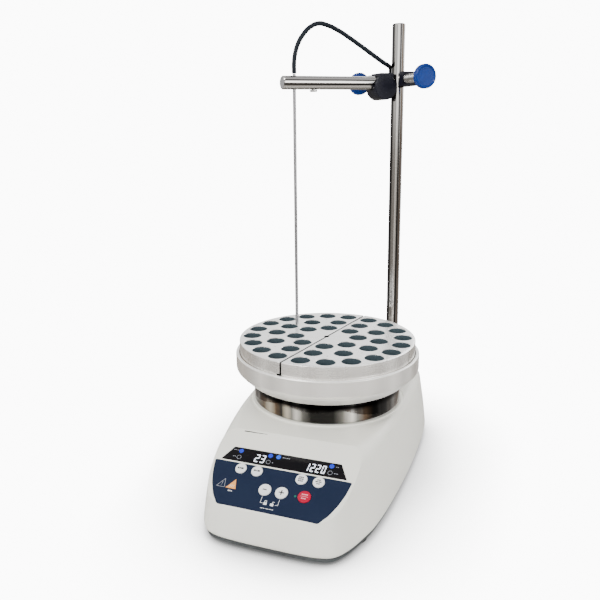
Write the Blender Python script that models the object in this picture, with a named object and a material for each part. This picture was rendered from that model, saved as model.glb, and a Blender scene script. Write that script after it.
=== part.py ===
"""Hotplate stirrer with a vial block, a support rod and a temperature probe.

Axes: +X is to the right seen from the control panel, +Y is to the rear, +Z is up.
The origin is on the bench, under the centre of the heated plate.
Every length below is in millimetres; MM turns it into metres when a mesh is made.
"""
import math

import bmesh
import bpy
from mathutils import Matrix, Vector

MM = 0.001
GAP = 0.3                 # running clearance between two pieces
WALL = 3.0                # moulded case wall

# Case: plan outlines, right half, from the front centre line to the rear centre line.
CASE_Z = (7.0, 67.0)      # lower edge and deck
LOW_OUTLINE = ((0, -158.5), (22, -158.3), (40, -156.8), (52, -152), (60, -140), (66, -124),
               (71.5, -104), (75.5, -76), (78.5, -40), (80.5, 0), (81, 35), (80.5, 70),
               (77.5, 98), (68, 115), (50, 121.6), (25, 122), (0, 122))
TOP_OUTLINE = ((0, -153.5), (21, -153.3), (37, -152), (46, -147), (51.5, -136), (55.5, -121),
               (59, -100), (64.5, -72), (69.5, -38), (73, 0), (74, 35), (73.5, 68),
               (70.5, 95), (61.5, 112), (46, 120.5), (24, 122), (0, 122))
SHOULDER = (10.0, 6.0)    # deck edge radius at the front and at the rear
REAR_Y = 122.0
PANEL_ORIGIN = (0.0, -156.2, 35.2)
PANEL_TILT = math.radians(26.3)

# Control panel, in panel coordinates (x across, y up the slope).
OVERLAY = ((40.3, 0.8), (45.8, 7.9), (47.4, 10.8), (50.9, 17.9), (53.5, 25.2), (54.4, 28.2),
           (56.6, 38.6))
DISPLAY = ((52.0, 40.2), (45.0, 53.0))
BUTTONS = {"button_temp": (-32.5, 34.0, 4.5), "button_unit": (-18.8, 34.0, 4.5),
           "button_speed": (18.0, 34.0, 4.5), "button_set": (31.8, 34.0, 4.5),
           "button_minus": (-7.0, 19.4, 4.9), "button_plus": (6.5, 19.4, 4.9),
           "button_start_stop": (24.6, 19.7, 5.0)}
BUTTON_TRAVEL = 0.5

# Heater stack and vial block, all turned about the plate axis.
SKIRT_R, SKIRT_Z = 67.5, (68.3, 85.0)
PLATE_R, PLATE_Z = 67.3, (85.3, 87.1)
CARRIER_Z = (87.4, 99.4, 112.9)     # foot, start of the upright wall, rim
CARRIER_R = (71.0, 83.6)
RECESS_R, RECESS_Z = 80.4, 95.0
BLOCK_R, BLOCK_Z = 80.0, (95.3, 124.2)
SPLIT_HALF = 0.7                    # half the slit between the block halves
SPLIT_ANGLE = math.radians(78.4)    # direction of the slit, from +X
HOLE_R, HOLE_DEPTH = 8.25, 25.0
RING_SHIFT = 2.24                   # hole pattern centre, from the slit
HOLE_RINGS = ((67.0, [18.29 * (k + 0.5) for k in range(5)]),
              (46.2, (13.7, 46.1, 78.6)),
              (26.6, (25.7, 70.4)))

# Support rod, clamp head, arm and probe.
ROD_XY, ROD_R, ROD_Z = (40.5, 100.0), 6.0, (54.3, 404.7)
PROBE_XY, PROBE_R = (-38.0, 26.0), 1.5
ARM_Z, ARM_R = 351.0, 6.0
ARM_START, ARM_OVERHANG = 14.0, 12.0
KNOB_R, KNOB_T = 10.5, 9.0
ROD_SCREW_Z, ARM_SCREW_Z = 3.2, 1.8   # clamp screw heights above the arm axis
SCREW_R = 4.0
CABLE_R = 2.1
ARM_LENGTH = math.hypot(ROD_XY[0] - PROBE_XY[0], ROD_XY[1] - PROBE_XY[1])
ARM_ANGLE = math.atan2(ROD_XY[1] - PROBE_XY[1], ROD_XY[0] - PROBE_XY[0])

FEET = ((58, -112), (-58, -112), (60, 88), (-60, 88))
CASE_SCREWS = ((50, -124), (-50, -124), (64, 70), (-64, 70))


# ---------------------------------------------------------------- helpers

def clear_scene():
    for obj in list(bpy.data.objects):
        bpy.data.objects.remove(obj, do_unlink=True)


def material(name, colour, roughness, metallic=0.0):
    mat = bpy.data.materials.get(name) or bpy.data.materials.new(name)
    mat.use_nodes = True
    shader = mat.node_tree.nodes["Principled BSDF"]
    shader.inputs["Base Color"].default_value = (*colour, 1.0)
    shader.inputs["Roughness"].default_value = roughness
    shader.inputs["Metallic"].default_value = metallic
    return mat


def place(name, bm, mat, location=(0, 0, 0), rotation=(0, 0, 0), parent=None, smooth=True):
    """Turn a millimetre bmesh into a named object in metres."""
    bmesh.ops.recalc_face_normals(bm, faces=bm.faces)
    bmesh.ops.scale(bm, vec=(MM, MM, MM), verts=bm.verts)
    mesh = bpy.data.meshes.new(name)
    bm.to_mesh(mesh)
    bm.free()
    if mat:
        mesh.materials.append(mat)
    if smooth:
        mesh.shade_smooth()
        mesh.set_sharp_from_angle(angle=math.radians(35))
    obj = bpy.data.objects.new(name, mesh)
    bpy.context.scene.collection.objects.link(obj)
    obj.location = Vector(location) * MM
    obj.rotation_euler = rotation
    obj.parent = parent
    return obj


def frame_empty(name, location, rotation=(0, 0, 0)):
    obj = bpy.data.objects.new(name, None)
    bpy.context.scene.collection.objects.link(obj)
    obj.location = Vector(location) * MM
    obj.rotation_euler = rotation
    return obj


def lathe(profile, segments=32, axis="Z"):
    """Turned body: (radius, height) points in order, spun once about the axis."""
    bm = bmesh.new()
    verts = [bm.verts.new((r, 0.0, h)) for r, h in profile]
    edges = [bm.edges.new(pair) for pair in zip(verts, verts[1:])]
    if min(r for r, _ in profile) > 0:
        edges.append(bm.edges.new((verts[-1], verts[0])))
    bmesh.ops.spin(bm, geom=verts + edges, cent=(0, 0, 0), axis=(0, 0, 1),
                   angle=2 * math.pi, steps=segments, use_merge=True)
    bmesh.ops.remove_doubles(bm, verts=bm.verts, dist=1e-4)
    turns = {"X": Matrix.Rotation(math.pi / 2, 4, "Y"),
             "Y": Matrix.Rotation(-math.pi / 2, 4, "X"), "Z": Matrix.Identity(4)}
    bmesh.ops.transform(bm, matrix=turns[axis], verts=bm.verts)
    return bm


def pin(radius, low, high, chamfer=0.0, segments=20, axis="Z"):
    """Solid round bar from low to high along an axis, with chamfered ends."""
    c = chamfer
    if c:
        profile = ((0, low), (radius - c, low), (radius, low + c), (radius, high - c),
                   (radius - c, high), (0, high))
    else:
        profile = ((0, low), (radius, low), (radius, high), (0, high))
    return lathe(profile, segments, axis)


def prism(points, low, high):
    """Polygon in the XY plane, extruded from low to high along Z."""
    bm = bmesh.new()
    face = bm.faces.new([bm.verts.new((x, y, low)) for x, y in points])
    extruded = bmesh.ops.extrude_face_region(bm, geom=[face])
    top = [e for e in extruded["geom"] if isinstance(e, bmesh.types.BMVert)]
    bmesh.ops.translate(bm, vec=(0, 0, high - low), verts=top)
    return bm


def block(x, y, z, bevel=0.0):
    """Box between three (low, high) pairs, with optional bevelled edges."""
    bm = prism(((x[0], y[0]), (x[1], y[0]), (x[1], y[1]), (x[0], y[1])), *z)
    if bevel:
        bmesh.ops.bevel(bm, geom=bm.edges[:], offset=bevel, segments=2, profile=0.5,
                        affect="EDGES")
    return bm


def joined(*parts):
    """Several bmeshes (optionally paired with a shift) collected into one."""
    result = bmesh.new()
    for part in parts:
        bm, shift = part if isinstance(part, tuple) else (part, (0, 0, 0))
        bmesh.ops.translate(bm, vec=shift, verts=bm.verts)
        mesh = bpy.data.meshes.new("joined")
        bm.to_mesh(mesh)
        bm.free()
        result.from_mesh(mesh)
        bpy.data.meshes.remove(mesh)
    return result


def tool(obj, operation, bm, parent=None, location=(0, 0, 0), rotation=(0, 0, 0)):
    """Boolean the given shape with obj; the shape stays as a hidden guide."""
    guide = place(obj.name + "_" + operation.lower(), bm, None, location, rotation,
                  parent, smooth=False)
    guide.hide_render = True
    guide.display_type = "WIRE"
    mod = obj.modifiers.new(operation.title(), "BOOLEAN")
    mod.operation = operation
    mod.object = guide
    mod.solver = "EXACT"
    mod.use_self = False
    return guide


def cut(obj, bm, **where):
    return tool(obj, "DIFFERENCE", bm, **where)


def add(obj, bm, **where):
    return tool(obj, "UNION", bm, **where)


def mirrored(points):
    """Right-hand points followed by their mirror image, as one closed polygon."""
    return list(points) + [(-x, y) for x, y in reversed(points)]


def grown(points, amount):
    """Polygon moved outwards by an amount along its corner normals."""
    count = len(points)
    result = []
    for i in range(count):
        before = Vector(points[i]) - Vector(points[i - 1])
        after = Vector(points[(i + 1) % count]) - Vector(points[i])
        normals = [Vector((d.y, -d.x)).normalized() for d in (before, after)]
        bisector = (normals[0] + normals[1]).normalized()
        step = amount / max(0.3, bisector.dot(normals[0]))
        result.append(tuple(Vector(points[i]) + bisector * step))
    return result


# ---------------------------------------------------------------- case

def smooth_outline(half, steps=2):
    """Closed Catmull-Rom curve through a half outline and its mirror image."""
    points = [Vector(p) for p in half] + [Vector((-x, y)) for x, y in reversed(half[1:-1])]
    count = len(points)
    curve = []
    for i in range(count):
        p0, p1, p2, p3 = (points[(i + k - 1) % count] for k in range(4))
        for s in range(steps):
            t = s / steps
            curve.append(0.5 * (2 * p1 + (p2 - p0) * t
                                + (2 * p0 - 5 * p1 + 4 * p2 - p3) * t ** 2
                                + (3 * p1 - p0 - 3 * p2 + p3) * t ** 3))
    return curve


def loft(rings):
    """Closed solid through rings of matching points, with flat ends."""
    bm = bmesh.new()
    levels = [[bm.verts.new(p) for p in ring] for ring in rings]
    count = len(rings[0])
    for low, high in zip(levels, levels[1:]):
        for i in range(count):
            j = (i + 1) % count
            bm.faces.new((low[i], low[j], high[j], high[i]))
    bm.faces.new(levels[0])
    bm.faces.new(levels[-1])
    return bm


def case_ring(levels, steps=2):
    """Ring of points at given heights and insets; both may vary with the outline point."""
    low, top = smooth_outline(LOW_OUTLINE, steps), smooth_outline(TOP_OUTLINE, steps)
    base = 11.0
    ring = []
    count = len(low)
    for i in range(count):
        z, inset = levels(top[i])
        mix = min(1.0, max(0.0, (z - base) / (CASE_Z[1] - base)))
        p = low[i].lerp(top[i], mix)
        tangent = (low[(i + 1) % count] - low[i - 1]).normalized()
        normal = Vector((tangent.y, -tangent.x))
        p = p - normal * inset
        ring.append((p.x, min(p.y, REAR_Y - max(0.0, inset)), z))
    return ring


def shoulder_radius(point):
    """Large deck edge radius beside the panel, smaller beside the plate."""
    mix = min(1.0, max(0.0, (point.y + 95) / 60))
    return SHOULDER[0] + (SHOULDER[1] - SHOULDER[0]) * mix


def slice_panel(bm, depth):
    """Cut the lofted body along the sloping panel plane, lowered by depth."""
    normal = Vector((0, -math.sin(PANEL_TILT), math.cos(PANEL_TILT)))
    point = Vector(PANEL_ORIGIN) - normal * depth
    cut_geom = bmesh.ops.bisect_plane(bm, geom=bm.verts[:] + bm.edges[:] + bm.faces[:],
                                      plane_co=point, plane_no=normal, clear_outer=True,
                                      dist=1e-5)["geom_cut"]
    loop = [e for e in cut_geom if isinstance(e, bmesh.types.BMEdge)]
    bmesh.ops.edgeloop_fill(bm, edges=loop)
    return loop


def case_outer():
    """Lofted outer form: rolled lower edge, drafted sides, rounded deck edge."""
    rings = [case_ring(lambda p, z=z, i=i: (z, i))
             for z, i in ((7.0, 2.2), (7.8, 0.8), (10.0, 0.1), (12.0, 0.0), (36.0, -0.5))]
    for k in range(5):
        angle = math.pi / 2 * k / 4

        def level(p, a=angle):
            r = shoulder_radius(p)
            return CASE_Z[1] - r * (1 - math.sin(a)), r * (1 - math.cos(a))
        rings.append(case_ring(level))
    bm = loft(rings)
    edges = slice_panel(bm, 0.0)
    bmesh.ops.bevel(bm, geom=edges, offset=2.0, segments=2, profile=0.5, affect="EDGES",
                    clamp_overlap=True)
    return bm


def case_cavity():
    """Hollow of the case, one wall thickness inside the outer form."""
    rings = [case_ring(lambda p, z=z, i=i: (z, i), steps=1)
             for z, i in ((4.0, WALL), (12.0, WALL), (56.0, WALL + 0.6),
                          (61.5, WALL + 2.5), (CASE_Z[1] - WALL, WALL + 6.0))]
    bm = loft(rings)
    slice_panel(bm, WALL)
    return bm


def roof_height(y):
    """Height of the outer surface on the centre line."""
    slope = PANEL_ORIGIN[2] + (y - PANEL_ORIGIN[1]) * math.tan(PANEL_TILT)
    return min(CASE_Z[1], slope)


def rear_fittings():
    """Openings in the rear wall: mains inlet, rocker switch, probe socket."""
    through = (REAR_Y - 8, REAR_Y + 4)
    return joined(block((-51.3, -24.7), through, (27.3, 46.7)),
                  block((-17.8, -0.2), through, (24.7, 49.3)),
                  (pin(6.9, -8, 4, axis="Y"), (38.0, REAR_Y, 42.0)))


def make_case(white, panel):
    case = place("upper_case", case_outer(), white)
    cut(case, case_cavity())
    bosses = [(pin(4.5, 5.6, roof_height(y) - 2.9, segments=16), (x, y, 0))
              for x, y in CASE_SCREWS]
    collar = lathe(((55.0, 64.5), (69.6, 64.5), (69.6, 67.6), (69.1, 68.0), (55.0, 68.0)), 36)
    add(case, joined(*bosses))
    add(case, collar)
    openings = [(pin(1.8, 0, 16, segments=12), (x, y, 0)) for x, y in CASE_SCREWS]
    openings += [(pin(58.0, 60, 70, segments=32), (0, 0, 0)),
                 (pin(7.35, 55, 80, segments=24), (*ROD_XY, 0)), rear_fittings()]
    cut(case, joined(*openings))
    pockets = [prism(grown(mirrored(OVERLAY), GAP), -0.9, 4),
               prism(grown(mirrored(DISPLAY), GAP), -0.9, 4)]
    cut(case, joined(*pockets), parent=panel)
    windows = [prism(grown(mirrored(((44.0, 41.5), (42.5, 51.5))), 0.0), -8, 2)]
    windows += [(pin(r + 0.35, -8, 2, segments=14), (x, y, 0)) for x, y, r in BUTTONS.values()]
    cut(case, joined(*windows), parent=panel)


def make_base(grey, rubber, steel):
    """Tray that closes the underside, its feet and its screws."""
    def ring(z, inset):
        return case_ring(lambda p: (z, inset), steps=1)
    pan = place("base_pan", loft([ring(2.3, 4.6), ring(3.3, 3.4), ring(6.7, 3.0)]), grey)
    cut(pan, loft([ring(5.0, 7.0), ring(9.0, 7.0)]))
    holes = []
    for x, y in CASE_SCREWS:
        holes += [(pin(3.6, 0, 4.2, segments=16), (x, y, 0)),
                  (pin(1.9, 0, 8, segments=16), (x, y, 0))]
    cut(pan, joined(*holes[0::2]))
    cut(pan, joined(*holes[1::2]))
    for i, (x, y) in enumerate(FEET, 1):
        place(f"foot_{i}", lathe(((0, 0), (7.0, 0), (8.0, 0.9), (8.0, 2.0), (0, 2.0)), 20),
              rubber, (x, y, 0))
    for i, (x, y) in enumerate(CASE_SCREWS, 1):
        profile = ((0, 2.9), (1.1, 2.9), (1.1, 2.4), (2.9, 2.4), (3.2, 2.7), (3.2, 3.9),
                   (1.5, 3.9), (1.5, 14.0), (0, 14.4))
        place(f"case_screw_{i}", lathe(profile, 12), steel, (x, y, 0))


# ---------------------------------------------------------------- control panel

def make_panel(panel, mats):
    overlay = place("panel_overlay", prism(mirrored(OVERLAY), -0.6, 0.0), mats["navy"],
                    parent=panel, smooth=False)
    cut(overlay, joined(*[(pin(r + 0.35, -3, 3, segments=14), (x, y, 0))
                          for x, y, r in BUTTONS.values()]), parent=panel)
    place("display_window", prism(mirrored(DISPLAY), -0.6, 0.0), mats["black"],
          parent=panel, smooth=False)
    place("display_module", block((-41.5, 41.5), (42.0, 51.0), (-7.5, -1.2), 0.4),
          mats["black"], parent=panel)
    for name, (x, y, r) in BUTTONS.items():
        profile = ((0, -4.2), (r + 1.1, -4.2), (r + 1.1, -3.4), (r, -3.4), (r, 0.9),
                   (r - 0.9, 1.6), (0, 1.8))
        mat = mats["red"] if name == "button_start_stop" else mats["white"]
        place(name, lathe(profile, 16), mat, (x, y, 0), parent=panel)
    board = place("control_board", prism(mirrored(((38.0, 8.0), (40.0, 38.5))), -8.6, -7.0),
                  mats["board"], parent=panel, smooth=False)
    switches = [(pin(2.2, -7.8, -5.0, segments=8), (x, y, 0)) for x, y, _ in BUTTONS.values()]
    add(board, joined(*switches), parent=panel)


# ---------------------------------------------------------------- heater and block

def make_heater(mats):
    top = SKIRT_Z[1]
    low = SKIRT_Z[0]
    place("heater_skirt", lathe(((56.0, low), (SKIRT_R - 1.2, low), (SKIRT_R, low + 1.2),
                                 (SKIRT_R, top - 0.6), (SKIRT_R - 0.5, top),
                                 (SKIRT_R - 1.0, top - 0.6), (SKIRT_R - 1.0, low + 1.0),
                                 (56.0, low + 1.0)), 36), mats["polished"])
    place("insulation_disc", pin(56.5, 70.3, 76.0, 0.8, 24), mats["wool"])
    ring = [(40.0 + 2.6 * math.cos(a), 80.2 + 2.6 * math.sin(a))
            for a in (k * math.pi / 4 for k in range(8))]
    place("heating_element", lathe(ring, 20), mats["element"])
    for i in range(3):
        angle = math.radians(90 + 120 * i)
        place(f"plate_standoff_{i + 1}", pin(2.6, 69.6, 83.2, 0.3, 16), mats["steel"],
              (61.0 * math.cos(angle), 61.0 * math.sin(angle), 0))
    place("hot_plate", lathe(((0, 83.5), (65.6, 83.5), (65.6, 85.3), (PLATE_R, 85.3),
                              (PLATE_R, 86.7), (PLATE_R - 0.4, 87.1), (0, 87.1)), 36),
          mats["plate"])
    foot, wall, rim = CARRIER_Z
    r0, r1 = CARRIER_R
    place("carrier_plate", lathe(((0, foot), (r0, foot), (r0 + 1.5, foot + 0.5),
                                  (r1 - 3.0, wall - 3.6), (r1 - 0.6, wall - 1.4), (r1, wall),
                                  (r1, rim - 0.8), (r1 - 0.8, rim), (RECESS_R + 0.4, rim),
                                  (RECESS_R, rim - 0.4), (RECESS_R, RECESS_Z),
                                  (0, RECESS_Z)), 44), mats["alu"])


def hole_centres():
    """Hole centres of one half, in a frame whose +X points away from the slit."""
    for radius, angles in HOLE_RINGS:
        for angle in angles:
            for side in (-1, 1):
                a = math.radians(side * angle)
                yield RING_SHIFT + radius * math.cos(a), radius * math.sin(a)


def make_block(name, mat, direction):
    """Half round block with twenty blind holes; +X of its frame points off the slit."""
    steps = 28
    limit = math.acos(SPLIT_HALF / BLOCK_R)
    arc = [(BLOCK_R * math.cos(a), BLOCK_R * math.sin(a))
           for a in (-limit + 2 * limit * k / steps for k in range(steps + 1))]
    bm = prism(arc, *BLOCK_Z)
    top = [e for e in bm.edges if all(v.co.z > BLOCK_Z[1] - 0.1 for v in e.verts)]
    bmesh.ops.bevel(bm, geom=top, offset=0.5, segments=1, affect="EDGES")
    turn = (0, 0, direction)
    half = place(name, bm, mat, rotation=turn)
    holes = [(pin(HOLE_R, BLOCK_Z[1] - HOLE_DEPTH, BLOCK_Z[1] + 3, segments=12), (x, y, 0))
             for x, y in hole_centres()]
    notch = (pin(2.5, BLOCK_Z[0] - 2, BLOCK_Z[1] + 3, segments=12), (0.0, 0.0, 0))
    cut(half, joined(*holes, notch), rotation=turn)


# ---------------------------------------------------------------- drive and power

def make_drive(mats):
    """Magnetic drive under the plate: bracket, motor, shaft, bar and two magnets."""
    leg = ((-48, 5.3), (-34, 5.3), (-34, 19.4), (34, 19.4), (34, 5.3), (48, 5.3), (48, 7.3),
           (36, 7.3), (36, 21.7), (-36, 21.7), (-36, 7.3), (-48, 7.3))
    bm = prism(leg, -16, 16)
    bmesh.ops.rotate(bm, matrix=Matrix.Rotation(math.pi / 2, 3, "X"), verts=bm.verts)
    place("motor_bracket", bm, mats["steel"], smooth=False)
    place("motor_body", lathe(((0, 22.0), (21.4, 22.0), (22.0, 22.6), (22.0, 49.4),
                               (21.4, 50.0), (6.0, 50.0), (6.0, 52.0), (3.0, 52.0),
                               (3.0, 46.0), (0, 46.0)), 18), mats["motor"])
    place("motor_shaft", pin(2.5, 46.4, 57.6, 0.3, 16), mats["steel"])
    bar = place("magnet_bar", block((-30, 30), (-7, 7), (57.9, 60.9), 0.5), mats["steel"])
    bar.parent = bpy.data.objects["motor_shaft"]
    for side, name in ((-1, "magnet_a"), (1, "magnet_b")):
        magnet = place(name, pin(6.5, 61.2, 67.2, 0.5, 16), mats["magnet"], (22 * side, 0, 0))
        magnet.parent = bar


def make_power(mats):
    board = place("power_board", block((-56, -14), (28, 86), (8.0, 9.6)), mats["board"],
                  smooth=False)
    add(board, joined((pin(6.0, 9.0, 26.0, segments=12), (-26, 44, 0)),
                      (pin(6.0, 9.0, 26.0, segments=12), (-26, 60, 0)),
                      block((-52, -38), (36, 62), (9.0, 24.0)),
                      block((-52, -40), (68, 82), (9.0, 20.0))))
    place("transformer", block((26, 62), (30, 66), (5.3, 37.0), 1.5), mats["motor"])
    inlet = place("power_inlet", block((-54, -22), (REAR_Y + GAP, REAR_Y + 2.3), (24.5, 49.5),
                                       0.6), mats["black"])
    add(inlet, block((-51, -25), (REAR_Y - 14, REAR_Y + 1.0), (27.6, 46.4)))
    cut(inlet, prism(((-49, 29.4), (-27, 29.4), (-27, 40.5), (-31, 44.6), (-45, 44.6),
                      (-49, 40.5)), -REAR_Y - 3, -REAR_Y + 11), rotation=(math.pi / 2, 0, 0))
    blades = [block((x - 1, x + 1), (REAR_Y - 13, REAR_Y - 1), (z - 2, z + 2))
              for x, z in ((-43.0, 35.0), (-33.0, 35.0), (-38.0, 40.0))]
    add(inlet, joined(*blades))
    frame = place("power_switch_frame", block((-20, 2), (REAR_Y + GAP, REAR_Y + 1.9),
                                              (22.0, 52.0), 0.5), mats["black"])
    add(frame, block((-17.5, -0.5), (REAR_Y - 14, REAR_Y + 1.0), (25.0, 49.0)))
    cut(frame, block((-15.7, -2.3), (REAR_Y - 10, REAR_Y + 4), (26.8, 47.2)))
    side = ((-3.5, -3), (4.9, -8.8), (6.0, -8.8), (4.6, 0), (6.0, 8.8), (4.9, 8.8), (-3.5, 3))
    bm = prism(side, -6.4, 6.4)
    bmesh.ops.transform(bm, matrix=Matrix(((0, 0, 1, 0), (1, 0, 0, 0), (0, 1, 0, 0),
                                           (0, 0, 0, 1))), verts=bm.verts)
    place("power_rocker", bm, mats["red"], (-9.0, REAR_Y - 3.0, 37.0),
          (math.radians(8), 0, 0), smooth=False)
    place("sensor_socket", lathe(((0, -12), (6.4, -12), (6.4, GAP), (9.0, GAP), (9.0, 2.0),
                                  (7.4, 2.3), (7.4, 6.5), (7.0, 7.0), (4.6, 7.0), (4.6, -4.0),
                                  (0, -4.0)), 16, "Y"), mats["steel"], (38.0, REAR_Y, 42.0))


# ---------------------------------------------------------------- rod, arm and probe

def make_rod(mats):
    place("rod_socket", lathe(((0, 50), (6.0, 50), (7.0, 51), (7.0, 67.3), (10.0, 67.3),
                               (10.0, 69.0), (8.6, 69.4), (8.6, 78.2), (8.0, 78.8), (6.3, 78.8),
                               (6.3, 54.0), (0, 54.0)), 16), mats["steel"], (*ROD_XY, 0))
    place("support_rod", pin(ROD_R, *ROD_Z, 0.8, 24), mats["polished"], (*ROD_XY, 0))


def make_head(head, mats):
    """Clamp head: an open C holds the rod, a drum and block hold the arm."""
    c_shape = ((-14, 7), (6.8, 7), (6.8, -11), (-5.5, -11), (-5.5, -16.5), (11, -16.5),
               (11, 12), (-14, 12))
    body = place("boss_head", prism(c_shape, -3.2, 9.6), mats["head"], parent=head)
    add(body, pin(11.4, -9.4, 9, 0.6, 28, "Y"), parent=head, location=(-18, 0, -4.2))
    add(body, block((-24, -10), (-9, 8.6), (-7.5, 8.8), 0.8), parent=head)
    add(body, pin(6.6, 4, 19, 0.6, 20, "Y"), parent=head, location=(-20, 0, ARM_SCREW_Z))
    cut(body, pin(ARM_R + 0.35, -40, -5, segments=24, axis="X"), parent=head)
    cut(body, joined((pin(SCREW_R + 0.3, 0, 25, axis="Y"), (-20, 0, ARM_SCREW_Z)),
                     (pin(SCREW_R + 0.3, -25, -6, axis="Y"), (0, 0, ROD_SCREW_Z))), parent=head)


def knob_profile(start):
    """Dished disc knob with a hub, bored for its screw, from a start height."""
    r = KNOB_R
    bore = SCREW_R + GAP
    return ((0, start + 5.0), (bore, start + 5.0), (bore, start), (5.6, start),
            (6.2, start + 1.2), (6.2, start + 2.6), (r - 0.8, start + 3.2),
            (r, start + 4.0), (r, start + KNOB_T - 1.0), (r - 0.8, start + KNOB_T),
            (r - 2.0, start + KNOB_T), (r - 3.0, start + KNOB_T - 1.4),
            (0, start + KNOB_T - 1.0))


def make_clamp(prefix, side, x, z, tip, hub, head, mats):
    """Clamp screw along the head's Y axis with its disc knob."""
    turn = (0, 0, math.pi if side < 0 else 0)
    screw = lathe(((0, tip), (2.6, tip), (SCREW_R, tip + 1.4), (SCREW_R, hub + 4.4),
                   (SCREW_R - 0.3, hub + 4.7), (0, hub + 4.7)), 16, "Y")
    place(prefix + "_screw", screw, mats["steel"], (x, 0, z), turn, head)
    profile = knob_profile(hub)
    place(prefix + "_knob", lathe(profile, 18, "Y"), mats["blue"], (x, 0, z), turn, head)


def make_arm(head, mats):
    end = ARM_LENGTH + ARM_OVERHANG
    arm = place("arm_rod", pin(ARM_R, -end, -ARM_START, 0.7, 24, "X"), mats["polished"],
                parent=head)
    cut(arm, joined((pin(PROBE_R + 0.35, -9, 9, segments=12), (-ARM_LENGTH, 0, 0)),
                    (pin(2.0, -9, 1.5, segments=12), (-ARM_LENGTH + 19.0, 0, 0))), parent=head)
    screw = lathe(((0, -8.0), (3.0, -8.0), (3.4, -7.6), (3.4, -6.3), (1.65, -6.3),
                   (1.65, 0.6), (0, 0.6)), 14)
    place("probe_set_screw", screw, mats["steel"], (-ARM_LENGTH + 19.0, 0, 0), parent=head)


def make_probe(mats):
    tip, top = BLOCK_Z[1] + GAP, ARM_Z + 7.6
    profile = ((0, tip), (0.9, tip), (PROBE_R, tip + 0.9), (PROBE_R, top - 1.0),
               (PROBE_R - 0.2, top), (0, top))
    place("probe", lathe(profile, 12), mats["steel"], (*PROBE_XY, 0))


def cable(name, points, mat, parent=None):
    """Round lead through the given points, closed at both ends."""
    curve = bpy.data.curves.new(name, "CURVE")
    curve.dimensions = "3D"
    curve.bevel_depth = CABLE_R * MM
    curve.bevel_resolution = 1
    curve.resolution_u = 3
    curve.use_fill_caps = True
    spline = curve.splines.new("BEZIER")
    spline.bezier_points.add(len(points) - 1)
    for knot, p in zip(spline.bezier_points, points):
        knot.co = Vector(p) * MM
        knot.handle_left_type = knot.handle_right_type = "AUTO"
    curve.materials.append(mat)
    obj = bpy.data.objects.new(name, curve)
    bpy.context.scene.collection.objects.link(obj)
    obj.parent = parent
    return obj


def make_cables(head, mats):
    top = 7.6 + GAP
    start = -ARM_LENGTH
    loop = ((start, 0, top), (start, 0, 17), (start + 1.2, 0, 25), (start + 4.4, 0, 34),
            (start + 9.7, 0, 41.8), (start + 16, 0, 47.6), (start + 24.5, 0, 50.9),
            (start + 33.5, 0, 49.6), (start + 45, 0, 45.2), (start + 69, 0, 32),
            (start + 92, 0, 18.6), (-2.9, 9.0, 15.4), (0.5, 13.6, 13.2), (1.8, 15.4, 9.4),
            (2.2, 15.6, 6.0))
    cable("cable_loop", loop, mats["cable"], head)
    turn = Matrix.Rotation(ARM_ANGLE, 3, "Z")
    centre = Vector((*ROD_XY, ARM_Z))
    upper = [centre + turn @ Vector(p) for p in ((2.3, 15.6, 5.3), (2.7, 15.7, 1.0),
                                                 (3.6, 15.7, -5.0), (6.5, 15.5, -13.0),
                                                 (8.8, 15.0, -24.0))]
    x = 38.0
    lower = [Vector(p) for p in ((x, 113.0, 260), (x, 114.0, 180), (x, 124.0, 120),
                                 (x, 145.5, 82), (x, 155.3, 62), (x, 155.3, 49),
                                 (x, 150.5, 42.4), (x, 144.3, 42.0))]
    cable("cable_drop", upper + lower, mats["cable"])
    place("cable_plug", lathe(((0, -3.4), (4.2, -3.4), (4.2, 7.4), (7.0, 7.4), (7.2, 8.0),
                               (7.2, 13.0), (5.4, 14.0), (3.2, 22.0), (0, 22.0)), 16, "Y"),
          mats["black"], (x, REAR_Y, 42.0))


# ---------------------------------------------------------------- build

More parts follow.
